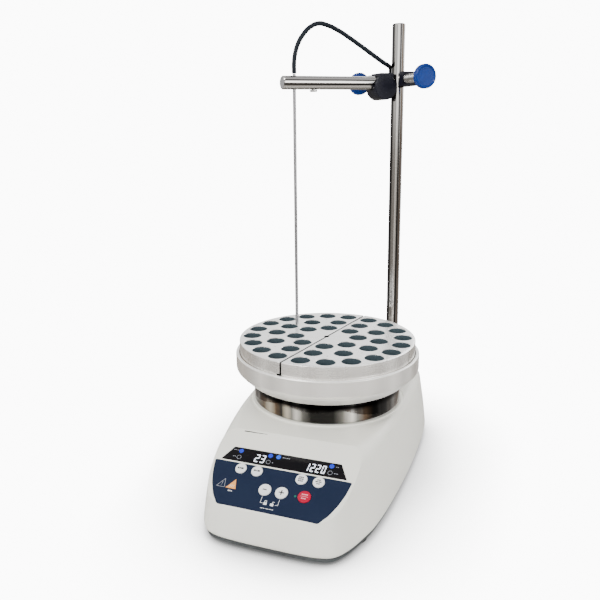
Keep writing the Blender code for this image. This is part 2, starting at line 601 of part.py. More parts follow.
def main():
    clear_scene()
    mats = {
        "white": material("case_white", (0.80, 0.79, 0.74), 0.38),
        "grey": material("base_grey", (0.06, 0.065, 0.07), 0.5),
        "rubber": material("foot_rubber", (0.03, 0.03, 0.03), 0.85),
        "navy": material("overlay_navy", (0.02, 0.03, 0.07), 0.35),
        "black": material("black_plastic", (0.01, 0.01, 0.012), 0.3),
        "red": material("start_red", (0.55, 0.02, 0.06), 0.35),
        "board": material("circuit_board", (0.02, 0.14, 0.05), 0.5),
        "polished": material("polished_stainless", (0.78, 0.77, 0.75), 0.08, 1.0),
        "steel": material("plain_steel", (0.55, 0.55, 0.54), 0.3, 1.0),
        "alu": material("satin_aluminium", (0.80, 0.80, 0.80), 0.32, 1.0),
        "plate": material("plate_coating", (0.05, 0.05, 0.05), 0.45, 0.3),
        "wool": material("mineral_wool", (0.60, 0.56, 0.45), 0.95),
        "element": material("heater_sheath", (0.20, 0.16, 0.13), 0.4, 1.0),
        "motor": material("motor_steel", (0.25, 0.26, 0.27), 0.4, 0.9),
        "magnet": material("magnet", (0.12, 0.12, 0.13), 0.35, 0.8),
        "head": material("head_black", (0.012, 0.012, 0.02), 0.35),
        "blue": material("knob_blue", (0.0, 0.10, 0.55), 0.3),
        "cable": material("cable_sheath", (0.015, 0.02, 0.03), 0.5),
    }
    panel = frame_empty("panel_frame", PANEL_ORIGIN, (PANEL_TILT, 0, 0))
    head = frame_empty("head_frame", (*ROD_XY, ARM_Z), (0, 0, ARM_ANGLE))
    make_case(mats["white"], panel)
    make_base(mats["grey"], mats["rubber"], mats["steel"])
    make_panel(panel, mats)
    make_heater(mats)
    make_block("block_left", mats["alu"], SPLIT_ANGLE + math.pi / 2)
    make_block("block_right", mats["alu"], SPLIT_ANGLE - math.pi / 2)
    make_drive(mats)
    make_power(mats)
    make_rod(mats)
    make_head(head, mats)
    make_clamp("rod_clamp", -1, 0.0, ROD_SCREW_Z, 6.3, 38.5, head, mats)
    make_clamp("arm_clamp", 1, -20.0, ARM_SCREW_Z, 6.3, 33.0, head, mats)
    make_arm(head, mats)
    make_probe(mats)
    make_cables(head, mats)
    bpy.context.view_layer.update()


main()
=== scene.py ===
"""Looks for the hotplate stirrer: fine surfaces, materials, studio light and camera."""
import math

import bmesh
import bpy
from mathutils import Matrix, Vector

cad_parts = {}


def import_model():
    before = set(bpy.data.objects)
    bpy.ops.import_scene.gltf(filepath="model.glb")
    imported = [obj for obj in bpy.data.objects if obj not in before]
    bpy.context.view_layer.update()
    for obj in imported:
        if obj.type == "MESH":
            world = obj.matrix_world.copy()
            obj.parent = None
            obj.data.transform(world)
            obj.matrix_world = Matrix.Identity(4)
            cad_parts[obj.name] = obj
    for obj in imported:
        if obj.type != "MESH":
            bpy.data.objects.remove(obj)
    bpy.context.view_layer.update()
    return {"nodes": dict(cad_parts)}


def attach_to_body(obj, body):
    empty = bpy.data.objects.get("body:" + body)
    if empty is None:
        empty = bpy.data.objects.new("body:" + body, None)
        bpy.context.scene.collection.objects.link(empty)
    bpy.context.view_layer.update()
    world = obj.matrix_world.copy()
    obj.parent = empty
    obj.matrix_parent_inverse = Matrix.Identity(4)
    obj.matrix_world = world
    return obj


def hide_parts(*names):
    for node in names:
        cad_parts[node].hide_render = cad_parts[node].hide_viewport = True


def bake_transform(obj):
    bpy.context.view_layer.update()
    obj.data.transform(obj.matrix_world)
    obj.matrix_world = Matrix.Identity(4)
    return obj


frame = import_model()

MM = 0.001
COLLECTION = bpy.context.scene.collection

# Layout in millimetres, the same numbers as the solids.
CASE_TOP = 67.0
WALL = 3.0
LOW_OUTLINE = ((0, -158.5), (22, -158.3), (40, -156.8), (52, -152), (60, -140), (66, -124),
               (71.5, -104), (75.5, -76), (78.5, -40), (80.5, 0), (81, 35), (80.5, 70),
               (77.5, 98), (68, 115), (50, 121.6), (25, 122), (0, 122))
TOP_OUTLINE = ((0, -153.5), (21, -153.3), (37, -152), (46, -147), (51.5, -136), (55.5, -121),
               (59, -100), (64.5, -72), (69.5, -38), (73, 0), (74, 35), (73.5, 68),
               (70.5, 95), (61.5, 112), (46, 120.5), (24, 122), (0, 122))
SHOULDER = (10.0, 6.0)                      # edge radius at the front and at the rear
REAR_Y = 122.0
PANEL_ORIGIN = Vector((0.0, -156.2, 35.2))
PANEL_TILT = math.radians(26.3)
# Right halves of the panel film and of the display window, on the panel.
OVERLAY = ((40.3, 0.8), (45.8, 7.9), (47.4, 10.8), (50.9, 17.9), (53.5, 25.2), (54.4, 28.2),
           (56.6, 38.6))
DISPLAY = ((52.0, 40.2), (45.0, 53.0))
# Place on the panel and radius of each button.
BUTTONS = {"button_temp": (-32.5, 34.0, 4.5), "button_unit": (-18.8, 34.0, 4.5),
           "button_speed": (18.0, 34.0, 4.5), "button_set": (31.8, 34.0, 4.5),
           "button_minus": (-7.0, 19.4, 4.9), "button_plus": (6.5, 19.4, 4.9),
           "button_start_stop": (24.6, 19.7, 5.0)}
FEET = ((58, -112), (-58, -112), (60, 88), (-60, 88))
CASE_SCREWS = ((50, -124), (-50, -124), (64, 70), (-64, 70))
# Rear fittings: middle of the mains inlet and of the switch, their height, the probe socket.
INLET_X, SWITCH_X, REAR_Z = -38.0, -9.0, 37.0
SENSOR = (38.0, REAR_Y, 42.0)
ROD = Vector((40.5, 100.0, 0.0))
PROBE = Vector((-38.0, 26.0, 0.0))
ROD_R, PROBE_R, CABLE_R = 6.0, 1.5, 2.1
ROD_TOP = 404.7
ARM_Z = 351.0
ARM_START, ARM_OVERHANG = 14.0, 12.0
ROD_SCREW_Z, ARM_SCREW_Z = 3.2, 1.8         # clamp screws above the arm's axis
ARM_SCREW_X = -20.0
SCREW_R, KNOB_R = 4.0, 10.8
ARM_LENGTH = (PROBE - ROD).length
ARM_ANGLE = math.atan2(ROD.y - PROBE.y, ROD.x - PROBE.x)
SET_SCREW_X = -ARM_LENGTH + 19.0
SPLIT_ANGLE = math.radians(78.4)            # direction of the slit, from +X
# Radius and angles of each ring of vial holes, on one side of a half's middle line.
HOLE_RINGS = ((67.0, [18.29 * (k + 0.5) for k in range(5)]), (46.2, (13.7, 46.1, 78.6)),
              (26.6, (25.7, 70.4)))
RING_SHIFT = 2.24                           # centre of the hole rings, from the slit
HOLE_R, HOLE_DEPTH = 8.25, 25.0
BLOCK_R, BLOCK_BOTTOM, BLOCK_TOP = 80.0, 95.3, 124.2
SPLIT_HALF = 0.7

WORLD = Matrix.Identity(4)
PANEL = Matrix.Translation(PANEL_ORIGIN * MM) @ Matrix.Rotation(PANEL_TILT, 4, "X")
HEAD = (Matrix.Translation(Vector((ROD.x, ROD.y, ARM_Z)) * MM)
        @ Matrix.Rotation(ARM_ANGLE, 4, "Z"))


def at(x, y, z=0.0, turn=0.0):
    return Matrix.Translation(Vector((x, y, z)) * MM) @ Matrix.Rotation(turn, 4, "Z")


# ---------------------------------------------------------------- materials

class Graph:
    """Small helper round one node tree; a socket given as a value is linked."""

    def __init__(self, owner):
        owner.use_nodes = True
        self.owner = owner
        self.tree = owner.node_tree
        self.shader = self.tree.nodes.get("Principled BSDF")

    def fill(self, node, values):
        for key, value in values.items():
            if hasattr(node, key):
                setattr(node, key, value)
                continue
            socket = node.inputs[key.replace("_", " ")]
            if isinstance(value, bpy.types.NodeSocket):
                self.tree.links.new(value, socket)
            else:
                socket.default_value = value

    def node(self, kind, **values):
        node = self.tree.nodes.new("ShaderNode" + kind)
        self.fill(node, values)
        return node

    def put(self, **values):
        self.fill(self.shader, values)

    def coords(self, scale=(1, 1, 1)):
        place = self.node("TexCoord").outputs["Object"]
        return self.node("Mapping", Scale=scale, Vector=place).outputs["Vector"]

    def split(self, vector):
        node = self.node("SeparateXYZ", Vector=vector)
        return [node.outputs[axis] for axis in "XYZ"]

    def geometry(self, kind):
        return self.node("NewGeometry").outputs[kind]

    def noise(self, vector, scale, detail=3.0, rough=0.5):
        return self.node("TexNoise", Scale=scale, Detail=detail, Roughness=rough,
                         Vector=vector).outputs["Fac"]

    def bands(self, value, scale, detail, rough=0.5):
        """Noise along one number."""
        return self.node("TexNoise", noise_dimensions="1D", Scale=scale, Detail=detail,
                         Roughness=rough, W=value).outputs["Fac"]

    def remap(self, value, low, high, from_low=0.3, from_high=0.7):
        return self.node("MapRange", From_Min=from_low, From_Max=from_high, To_Min=low,
                         To_Max=high, Value=value).outputs["Result"]

    def mix(self, factor, a, b, blend="MIX"):
        """Mix of two colours, each a colour socket or three numbers."""
        a, b = ((*c, 1) if isinstance(c, tuple) else c for c in (a, b))
        return self.node("Mix", data_type="RGBA", blend_type=blend, Factor=factor, A=a,
                         B=b).outputs["Result"]

    def choose(self, ray, other, seen):
        """Surface or background seen one way by a kind of ray and another way by the rest."""
        node = self.node("MixShader", Fac=self.node("LightPath").outputs[ray])
        self.tree.links.new(other, node.inputs[1])
        self.tree.links.new(seen, node.inputs[2])
        return node.outputs["Shader"]

    def bump(self, value, strength, distance):
        self.put(Normal=self.node("Bump", Strength=strength, Distance=distance,
                                  Height=value).outputs["Normal"])

    def math(self, operation, *values):
        node = self.node("Math", operation=operation)
        for socket, value in zip(node.inputs, values):
            if isinstance(value, (int, float)):
                socket.default_value = value
            else:
                self.tree.links.new(value, socket)
        return node.outputs["Value"]

    def ramp(self, factor, stops):
        """Colour ramp from (position, grey) or (position, (r, g, b)) stops."""
        node = self.node("ValToRGB", Fac=factor)
        elements = node.color_ramp.elements
        while len(elements) < len(stops):
            elements.new(0.5)
        for element, (position, colour) in zip(elements, stops):
            element.position = position
            if isinstance(colour, float):
                colour = (colour, colour * 0.97, colour * 0.93)
            element.color = (*colour, 1)
        return node.outputs["Color"]

    def around(self, x, y, facing):
        """Position across a round piece, 0 at its left edge and 1 at its right edge."""
        turn = self.math("SUBTRACT", self.math("ARCTAN2", y, x), facing)
        return self.math("MULTIPLY_ADD", self.math("SINE", turn), 0.5, 0.5)

    def edges(self, base, edge_colour, width, amount):
        """Another colour along the edges, where the rounded normal leaves the real one."""
        bevel = self.node("Bevel", samples=4, Radius=width).outputs["Normal"]
        dot = self.node("VectorMath", operation="DOT_PRODUCT")
        self.tree.links.new(bevel, dot.inputs[0])
        self.tree.links.new(self.geometry("Normal"), dot.inputs[1])
        return self.mix(self.remap(dot.outputs["Value"], amount, 0.0, 0.75, 0.99), base, edge_colour)


def new_graph(name):
    return Graph(bpy.data.materials.new(name))


def plastic(name, colour, other, rough, grain=1800.0, depth=0.00002, patch=25.0, coat=0.0,
            shine=0.5):
    """Moulded plastic: faint colour drift, spark-eroded grain, uneven gloss."""
    g = new_graph(name)
    vector = g.coords()
    drift = g.mix(g.remap(g.noise(vector, patch, 4), 0, 1), colour, other)
    # a lighter tone along the edges
    edge_colour = tuple(min(1, c * 1.25 + 0.01) for c in colour)
    g.put(Base_Color=g.edges(drift, edge_colour, 0.0006, 0.35),
          Roughness=g.remap(g.noise(vector, patch * 6, 5, 0.6), rough - 0.06, rough + 0.07),
          Coat_Weight=coat, Coat_Roughness=0.12, Specular_IOR_Level=shine)
    g.bump(g.noise(vector, grain, 2), 0.25, depth)
    return g.owner


def turned_metal(name, colour, other, rough, metallic=1.0, rings=2600.0, strength=0.2,
                 sides=()):
    """Lathe-turned metal: fine rings round the axis and along the height, with painted sheen in
    broad wedges round the axis; given side stops, the side faces get painted reflection bands and
    the edges a painted white highlight.
    """
    g = new_graph(name)
    vector = g.coords()
    x, y, z = g.split(vector)
    radius = g.math("SQRT", g.math("ADD", g.math("MULTIPLY", x, x), g.math("MULTIPLY", y, y)))
    fine = g.bands(g.math("ADD", radius, g.math("MULTIPLY", z, 1.7)), rings, 3.0)
    # painted sheen: broad light and dark wedges round the axis
    painted_wedge_sheen = g.bands(g.math("ARCTAN2", y, x), 3.6, 4.0)
    tone = g.math("ADD", g.math("MULTIPLY", fine, 0.25),
                  g.math("ADD", g.math("MULTIPLY", g.noise(vector, 35, 4, 0.6), 0.25),
                         g.math("MULTIPLY", painted_wedge_sheen, 0.5)))
    base = g.mix(g.remap(tone, 0, 1, 0.35, 0.65), colour, other)
    # painted reflections: side faces lighter and darker in bands across the piece as the camera
    # sees it
    if sides:
        facing_up = g.math("ABSOLUTE", g.split(g.geometry("Normal"))[2])
        place = g.split(g.geometry("Position"))
        shading = g.ramp(g.around(place[0], place[1], CAMERA_SIDE), sides)
        base = g.mix(g.remap(facing_up, 1.0, 0.0, 0.5, 0.9), base, shading, "MULTIPLY")
        # painted highlight: white along the edges
        base = g.edges(base, (1.0, 1.0, 1.0), 0.0005, 0.7)
    g.put(Base_Color=base, Roughness=g.remap(tone, rough - 0.08, rough + 0.08),
          Metallic=metallic, Anisotropic=0.35)
    g.bump(fine, strength, 0.00001)
    return g.owner


def drawn_metal(name, colour, other, rough):
    """Drawn upright bar: hairlines along its length and a little smearing."""
    g = new_graph(name)
    lines = g.noise(g.coords((420.0, 420.0, 9.0)), 1.0, 4, 0.6)
    smear = g.noise(g.coords(), 60, 4, 0.6)
    g.put(Base_Color=g.mix(g.remap(lines, 0, 1), colour, other),
          Roughness=g.remap(smear, rough - 0.03, rough + 0.05), Metallic=1.0)
    g.bump(lines, 0.02, 0.000012)
    return g.owner


def painted_reflection_metal(name, stops, rough, facing=None, shade=()):
    """Mirror-polished steel with its long reflections painted into the colour as streaks along the
    piece.

    An upright piece gives the direction that its middle streak faces; a level bar gives none.
    """
    g = new_graph(name)
    x, y, z = g.split(g.coords())
    if facing is None:
        across = g.math("MULTIPLY_ADD", z, 0.5 / (ROD_R * MM), 0.5)
        along = (9.0, 60.0, 60.0)
    else:
        across = g.around(x, y, facing)
        along = (60.0, 60.0, 9.0)
    smear = g.noise(g.coords(along), 2.5, 3, 0.6)
    sway = g.math("MULTIPLY", g.math("SUBTRACT", smear, 0.5), 0.03)
    # painted reflections: light and dark streaks across the piece
    colour = g.ramp(g.math("ADD", across, sway), stops)
    # painted shade: darker towards the top of the given band of height
    if shade:
        low, high = shade
        colour = g.mix(1.0, colour, g.remap(z, 1.0, 0.03, low * MM, high * MM), "MULTIPLY")
    g.put(Base_Color=colour, Roughness=g.remap(smear, rough - 0.02, rough + 0.04),
          Metallic=1.0)
    return g.owner


def gap_metal(name, open_colour, gap_shade_colour, rough, reach):
    """Machined metal with painted shade: its colour falls dark where another face stands close in
    front of it.
    """
    g = new_graph(name)
    air = g.node("AmbientOcclusion", samples=24, Distance=reach * MM).outputs["AO"]
    clear = g.remap(air, 0.0, 1.0, 0.78, 0.98)
    grain = g.noise(g.coords((1, 1, 12)), 900, 3, 0.6)
    g.put(Base_Color=g.mix(clear, gap_shade_colour, open_colour), Metallic=clear,
          Roughness=g.remap(grain, rough - 0.05, rough + 0.08))
    g.bump(grain, 0.2, 0.00001)
    return g.owner


def glow(name, colour, strength, base=(0.02, 0.02, 0.02)):
    """Lit mark behind a window, a little uneven in brightness."""
    g = new_graph(name)
    level = g.remap(g.noise(g.coords(), 900, 2), strength * 0.8, strength * 1.2)
    g.put(Base_Color=(*base, 1), Roughness=0.3, Emission_Color=(*colour, 1),
          Emission_Strength=level)
    return g.owner


WHITE = plastic("case_white", (0.84, 0.83, 0.755), (0.80, 0.79, 0.715), 0.36, 2200, 0.000015, 14)
GREY = plastic("base_grey", (0.060, 0.068, 0.070), (0.045, 0.050, 0.053), 0.55, 1500, 0.00005,
               shine=0.3)
RUBBER = plastic("foot_rubber", (0.020, 0.020, 0.021), (0.035, 0.034, 0.033), 0.82, 900, 0.00006,
                 shine=0.25)
NAVY = plastic("overlay_navy", (0.008, 0.014, 0.034), (0.010, 0.017, 0.039), 0.42, 3000,
               0.000008, 40, shine=0.08)
WINDOW = plastic("window_black", (0.004, 0.004, 0.005), (0.006, 0.005, 0.006), 0.16, 2500,
                 0.000004, 40, shine=0.10)
BLACK = plastic("fitting_black", (0.016, 0.016, 0.018), (0.026, 0.026, 0.028), 0.42, 1600,
                0.00003, shine=0.35)
BUTTON = plastic("button_white", (0.84, 0.84, 0.83), (0.77, 0.78, 0.78), 0.4, 2600, 0.00001, 90)
START = plastic("button_red", (0.42, 0.004, 0.034), (0.36, 0.003, 0.027), 0.38, 2600, 0.00001,
                90, shine=0.12)
BLUE = plastic("knob_blue", (0.0001, 0.020, 0.150), (0.0003, 0.027, 0.185), 0.32, 1500, 0.00002,
               60, shine=0.2)
HEAD_BLACK = plastic("head_black", (0.005, 0.005, 0.010), (0.010, 0.010, 0.017), 0.38, 1100,
                     0.00007, 60, shine=0.14)
SHEATH = plastic("cable_sheath", (0.006, 0.009, 0.013), (0.009, 0.013, 0.018), 0.5, 1400,
                 0.000008, 120, shine=0.12)
BOARD = plastic("circuit_board", (0.010, 0.10, 0.035), (0.016, 0.15, 0.05), 0.4, 700, 0.00005,
                200, 0.3)
INK_WHITE, INK_GREY, INK_DARK, INK_PINK = (
    plastic("ink_" + name, colour, other, 0.5, 2500, 0.000004) for name, colour, other in (
        ("white", (0.80, 0.80, 0.80), (0.70, 0.70, 0.72)),
        ("grey", (0.20, 0.21, 0.24), (0.26, 0.27, 0.30)),
        ("dark", (0.008, 0.009, 0.012), (0.014, 0.014, 0.018)),
        ("pink", (0.86, 0.34, 0.38), (0.80, 0.28, 0.32))))
INK_ORANGE = plastic("ink_orange", (0.80, 0.27, 0.03), (0.90, 0.44, 0.12), 0.45, 2500, 0.000004,
                     300)
# Tints of the painted reflection streaks on polished steel.
BROWN, BEIGE = (0.11, 0.075, 0.05), (0.50, 0.45, 0.38)
# Direction from the pieces towards the camera, where the painted reflections are centred.
CAMERA_SIDE = math.radians(-73.0)
# Painted reflections round the skirt, with painted shade at its top under the carrier.
SKIRT_METAL = painted_reflection_metal(
    "skirt_polished",
    ((0.0, BROWN), (0.03, 0.03), (0.09, BROWN), (0.13, BEIGE), (0.17, BROWN), (0.215, 0.03),
     (0.245, BEIGE), (0.275, 0.18), (0.31, 0.62), (0.35, 0.12), (0.40, 0.02), (0.54, 0.02),
     (0.60, 0.16), (0.655, 0.80), (0.69, 0.22), (0.74, BROWN), (0.79, 0.015), (0.88, 0.03),
     (0.93, 0.26), (0.965, BROWN), (0.985, 0.05), (1.0, 0.75)), 0.09, CAMERA_SIDE, (78.5, 82.0))
# Painted reflections on turned aluminium sides: brightness across a side face from the camera's
# left to its right.
PAINTED_SIDE_REFLECTIONS = ((0.0, (0.38, 0.35, 0.31)), (0.02, (0.55, 0.51, 0.46)), (0.07, (0.58, 0.54, 0.49)),
               (0.12, 0.66), (0.17, 0.92), (0.23, 0.74), (0.30, 0.96), (0.42, 0.90), (0.50, 1.0),
               (0.60, 0.94), (0.70, 1.0), (0.77, 0.88), (0.83, 1.0), (0.88, 0.74), (0.92, 0.86),
               (0.955, (0.58, 0.55, 0.51)), (0.98, 0.80), (1.0, 0.50))
ALU = turned_metal("block_aluminium", (0.98, 0.98, 0.98), (0.88, 0.88, 0.87), 0.27, 0.70, 2200,
                   0.35, PAINTED_SIDE_REFLECTIONS)
CARRIER_ALU = turned_metal("carrier_aluminium", (0.97, 0.97, 0.96), (0.89, 0.885, 0.87), 0.32,
                           0.50, 2600, 0.2, PAINTED_SIDE_REFLECTIONS)
# Painted shade: the flat faces at the slit turn near black where the other half stands close.
SLIT_FACE = gap_metal("slit_face", (0.93, 0.925, 0.91), (0.006, 0.006, 0.007), 0.30, 5.0)
# Near black lining for slots and small recesses: painted shade.
RECESS_SHADE = plastic("recess_painted_shade", (0.008, 0.008, 0.009), (0.012, 0.012, 0.013), 0.7, 1500,
                    0.00002, shine=0.1)
# Painted shade of the vial bores: dark slate-grey wall and floor.
BORE_SHADE = turned_metal("bore_painted_shade", (0.075, 0.108, 0.125), (0.055, 0.082, 0.098), 0.5, 0.25,
                     1500, 0.3)
# Near black hot plate.
PLATE = turned_metal("plate_coating", (0.012, 0.012, 0.012), (0.022, 0.021, 0.020), 0.5, 0.1,
                     1800, 0.3)
# Painted reflections along the rod.
ROD_METAL = painted_reflection_metal(
    "rod_polished",
    ((0.0, 0.12), (0.03, 0.02), (0.13, 0.025), (0.19, 0.32), (0.29, 0.42), (0.35, 0.22),
     (0.41, 0.80), (0.52, 0.90), (0.57, 0.30), (0.61, 0.015), (0.69, 0.02), (0.73, 0.30),
     (0.78, BROWN), (0.83, BROWN), (0.87, 0.42), (0.92, 0.50), (0.95, 0.02), (1.0, 0.10)),
    0.14, CAMERA_SIDE)
# Painted reflections along the arm.
ARM_METAL = painted_reflection_metal(
    "arm_polished",
    ((0.0, 0.06), (0.05, 0.20), (0.11, 0.80), (0.24, 0.92), (0.30, 0.30), (0.34, 0.02),
     (0.40, 0.03), (0.45, 0.40), (0.54, 0.60), (0.60, 0.20), (0.64, 0.02), (0.69, 0.05),
     (0.75, 0.80), (0.88, 0.92), (0.95, 0.35), (1.0, 0.08)), 0.14)
PROBE_METAL = drawn_metal("probe_steel", (0.36, 0.36, 0.37), (0.32, 0.32, 0.33), 0.42)
STEEL = turned_metal("plain_steel", (0.58, 0.57, 0.55), (0.48, 0.47, 0.46), 0.24, 1.0, 2600,
                     0.3)
MOTOR = turned_metal("motor_steel", (0.24, 0.24, 0.25), (0.18, 0.18, 0.19), 0.4, 0.9, 1200, 0.3)
WOOL = plastic("mineral_wool", (0.56, 0.50, 0.36), (0.44, 0.39, 0.28), 0.95, 420, 0.0004, 120)
DIGIT = glow("digit_white", (0.86, 0.90, 1.0), 2.6)
LED_BLUE = glow("led_blue", (0.010, 0.040, 0.50), 1.2, (0.005, 0.01, 0.2))
LED_PALE = glow("led_pale", (0.010, 0.10, 0.62), 1.3, (0.005, 0.03, 0.3))
LED_GREEN = glow("led_green", (0.004, 0.13, 0.09), 0.8, (0.005, 0.06, 0.04))


# ---------------------------------------------------------------- mesh helpers

def finish_mesh(bm, mesh, mats, sharp=32):
    """Write the bmesh out as a smooth-shaded mesh with sharp edges past an angle."""
    bmesh.ops.recalc_face_normals(bm, faces=bm.faces)
    bm.to_mesh(mesh)
    bm.free()
    for mat in mats:
        mesh.materials.append(mat)
    shade(mesh, sharp)


def shade(mesh, sharp):
    mesh.shade_smooth()
    mesh.set_sharp_from_angle(angle=math.radians(sharp))


def make(name, bm, mats, matrix=WORLD, sharp=32):
    """Millimetre bmesh to an object in metres."""
    bmesh.ops.scale(bm, vec=(MM, MM, MM), verts=bm.verts)
    mesh = bpy.data.meshes.new(name)
    finish_mesh(bm, mesh, mats if isinstance(mats, list) else [mats], sharp)
    obj = bpy.data.objects.new(name, mesh)
    COLLECTION.objects.link(obj)
    obj.matrix_world = matrix
    return obj


def lathe(profile, segments=96, axis="Z"):
    """Solid of revolution from (radius, height) points; off the axis they close a ring."""
    bm = bmesh.new()
    verts = [bm.verts.new((r, 0.0, h)) for r, h in profile]
    edges = [bm.edges.new(pair) for pair in zip(verts, verts[1:])]
    if min(r for r, _ in profile) > 0:
        edges.append(bm.edges.new((verts[-1], verts[0])))
    bmesh.ops.spin(bm, geom=verts + edges, cent=(0, 0, 0), axis=(0, 0, 1),
                   angle=2 * math.pi, steps=segments, use_merge=True)
    bmesh.ops.remove_doubles(bm, verts=bm.verts, dist=1e-4)
    turns = {"X": Matrix.Rotation(math.pi / 2, 4, "Y"),
             "Y": Matrix.Rotation(-math.pi / 2, 4, "X"), "Z": WORLD}
    bmesh.ops.transform(bm, matrix=turns[axis], verts=bm.verts)
    return bm


def fillet(before, corner, after, radius, share, steps):
    """Points of a small arc in place of one corner."""
    a, b = before - corner, after - corner
    r = min(radius, a.length * share, b.length * share)
    start, end = corner + a.normalized() * r, corner + b.normalized() * r
    arc = []
    for k in range(steps + 1):
        t = k / steps
        arc.append(tuple((1 - t) ** 2 * start + 2 * t * (1 - t) * corner + t * t * end))
    return arc


def rounded(profile, radius, steps=4):
    """Open profile with each inner corner rounded."""
    points = [Vector(p) for p in profile]
    out = [profile[0]]
    for before, corner, after in zip(points, points[1:], points[2:]):
        out += fillet(before, corner, after, radius, 0.45, steps)
    return [*out, profile[-1]]


def corner_rounded(outline, radius, steps=4):
    """Closed outline with each corner rounded."""
    points = [Vector(p) for p in outline]
    out = []
    for before, corner, after in zip(points[-1:] + points, points, points[1:] + points[:1]):
        out += fillet(before, corner, after, radius, 0.4, steps)
    return out


def spun(name, profile, mat, radius, segments, matrix, axis="Z"):
    """Turned piece with rounded corners."""
    return make(name, lathe(rounded(profile, radius), segments, axis), mat, matrix)


def turned(name, profile, mat, body, nodes=(), radius=0.4, segments=96, axis="Z",
           matrix=WORLD):
    """Turned piece on its body."""
    return attach(spun(name, profile, mat, radius, segments, matrix, axis), body, nodes)


def pin(radius, low, high, chamfer=0.0, segments=48, axis="Z"):
    """Round bar along an axis."""
    c = chamfer
    profile = ((0, low), (radius, low), (radius, high), (0, high))
    if c:
        profile = ((0, low), (radius - c, low), (radius, low + c), (radius, high - c),
                   (radius - c, high), (0, high))
    return lathe(profile, segments, axis)


def prism(points, low, high):
    """Outline drawn up from one height to another."""
    bm = bmesh.new()
    face = bm.faces.new([bm.verts.new((x, y, low)) for x, y in points])
    extruded = bmesh.ops.extrude_face_region(bm, geom=[face])
    top = [e for e in extruded["geom"] if isinstance(e, bmesh.types.BMVert)]
    bmesh.ops.translate(bm, vec=(0, 0, high - low), verts=top)
    return bm


def box(x, y, z, bevel=0.0):
    """Box from the two ends on each axis."""
    bm = prism(((x[0], y[0]), (x[1], y[0]), (x[1], y[1]), (x[0], y[1])), *z)
    if bevel:
        bmesh.ops.bevel(bm, geom=bm.edges[:], offset=bevel, segments=3, profile=0.5,
                        affect="EDGES")
    return bm


def rear_box(x, half_width, half_height, low, high, bevel=0.0):
    """Box on the rear wall, centred on a fitting, from one depth to another."""
    return box((x - half_width, x + half_width), (REAR_Y + low, REAR_Y + high),
               (REAR_Z - half_height, REAR_Z + half_height), bevel)


def joined(*parts):
    """One bmesh from several; a part may come with a shift."""
    result = bmesh.new()
    for part in parts:
        bm, shift = part if isinstance(part, tuple) else (part, (0, 0, 0))
        bmesh.ops.translate(bm, vec=shift, verts=bm.verts)
        mesh = bpy.data.meshes.new("joined")
        bm.to_mesh(mesh)
        bm.free()
        result.from_mesh(mesh)
        bpy.data.meshes.remove(mesh)
    return result


def carve(obj, bm, matrix=WORLD, mats=None, sharp=32, operation="DIFFERENCE"):
    """Cut a tool out of a piece with an exact Boolean and keep only the result."""
    tool = make(obj.name + "_tool", bm, mats or list(obj.data.materials)[:1], matrix)
    mod = obj.modifiers.new("carve", "BOOLEAN")
    mod.operation = operation
    mod.object = tool
    mod.solver = "EXACT"
    mod.material_mode = "TRANSFER"
    bake(obj, sharp)
    bpy.data.objects.remove(tool, do_unlink=True)


def weld(obj, bm, matrix=WORLD):
    """Join a bmesh to a piece with an exact Boolean."""
    carve(obj, bm, matrix, operation="UNION")


def bake(obj, sharp=32):
    """Replace the mesh by its evaluated form and drop the modifiers."""
    bpy.context.view_layer.update()
    graph = bpy.context.evaluated_depsgraph_get()
    mesh = bpy.data.meshes.new_from_object(obj.evaluated_get(graph))
    obj.modifiers.clear()
    obj.data = mesh
    shade(mesh, sharp)


def soften(obj, width, segments=2, angle=35):
    """Small bevel on the sharp edges, then baked."""
    mod = obj.modifiers.new("soften", "BEVEL")
    mod.width = width * MM
    mod.segments = segments
    mod.limit_method = "ANGLE"
    mod.angle_limit = math.radians(angle)
    bake(obj)


def attach(obj, body, nodes=()):
    """Put a piece on its body, in place of the solids' nodes."""
    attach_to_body(obj, body)
    if nodes:
        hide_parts(*([nodes] if isinstance(nodes, str) else nodes))
    return obj


def mirrored(points):
    """Whole outline from its right half."""
    return list(points) + [(-x, y) for x, y in reversed(points)]


def grown(points, amount):
    """Closed outline moved outward by an amount."""
    count = len(points)
    result = []
    for i in range(count):
        before = Vector(points[i]) - Vector(points[i - 1])
        after = Vector(points[(i + 1) % count]) - Vector(points[i])
        normals = [Vector((d.y, -d.x)).normalized() for d in (before, after)]
        bisector = (normals[0] + normals[1]).normalized()
        result.append(tuple(Vector(points[i])
                            + bisector * amount / max(0.3, bisector.dot(normals[0]))))
    return result


# ---------------------------------------------------------------- case

def smooth_outline(half, steps):
    """Closed curve through a right half outline and its mirror image."""
    points = [Vector(p) for p in half] + [Vector((-x, y)) for x, y in reversed(half[1:-1])]
    count = len(points)
    curve = []
    for i in range(count):
        p0, p1, p2, p3 = (points[(i + k - 1) % count] for k in range(4))
        for s in range(steps):
            t = s / steps
            curve.append(0.5 * (2 * p1 + (p2 - p0) * t
                                + (2 * p0 - 5 * p1 + 4 * p2 - p3) * t ** 2
                                + (3 * p1 - p0 - 3 * p2 + p3) * t ** 3))
    return curve


def loft(rings):
    """Closed body through rings of the same number of points."""
    bm = bmesh.new()
    levels = [[bm.verts.new(p) for p in ring] for ring in rings]
    count = len(rings[0])
    for low, high in zip(levels, levels[1:]):
        for i in range(count):
            j = (i + 1) % count
            bm.faces.new((low[i], low[j], high[j], high[i]))
    bm.faces.new(levels[0])
    bm.faces.new(levels[-1])
    return bm


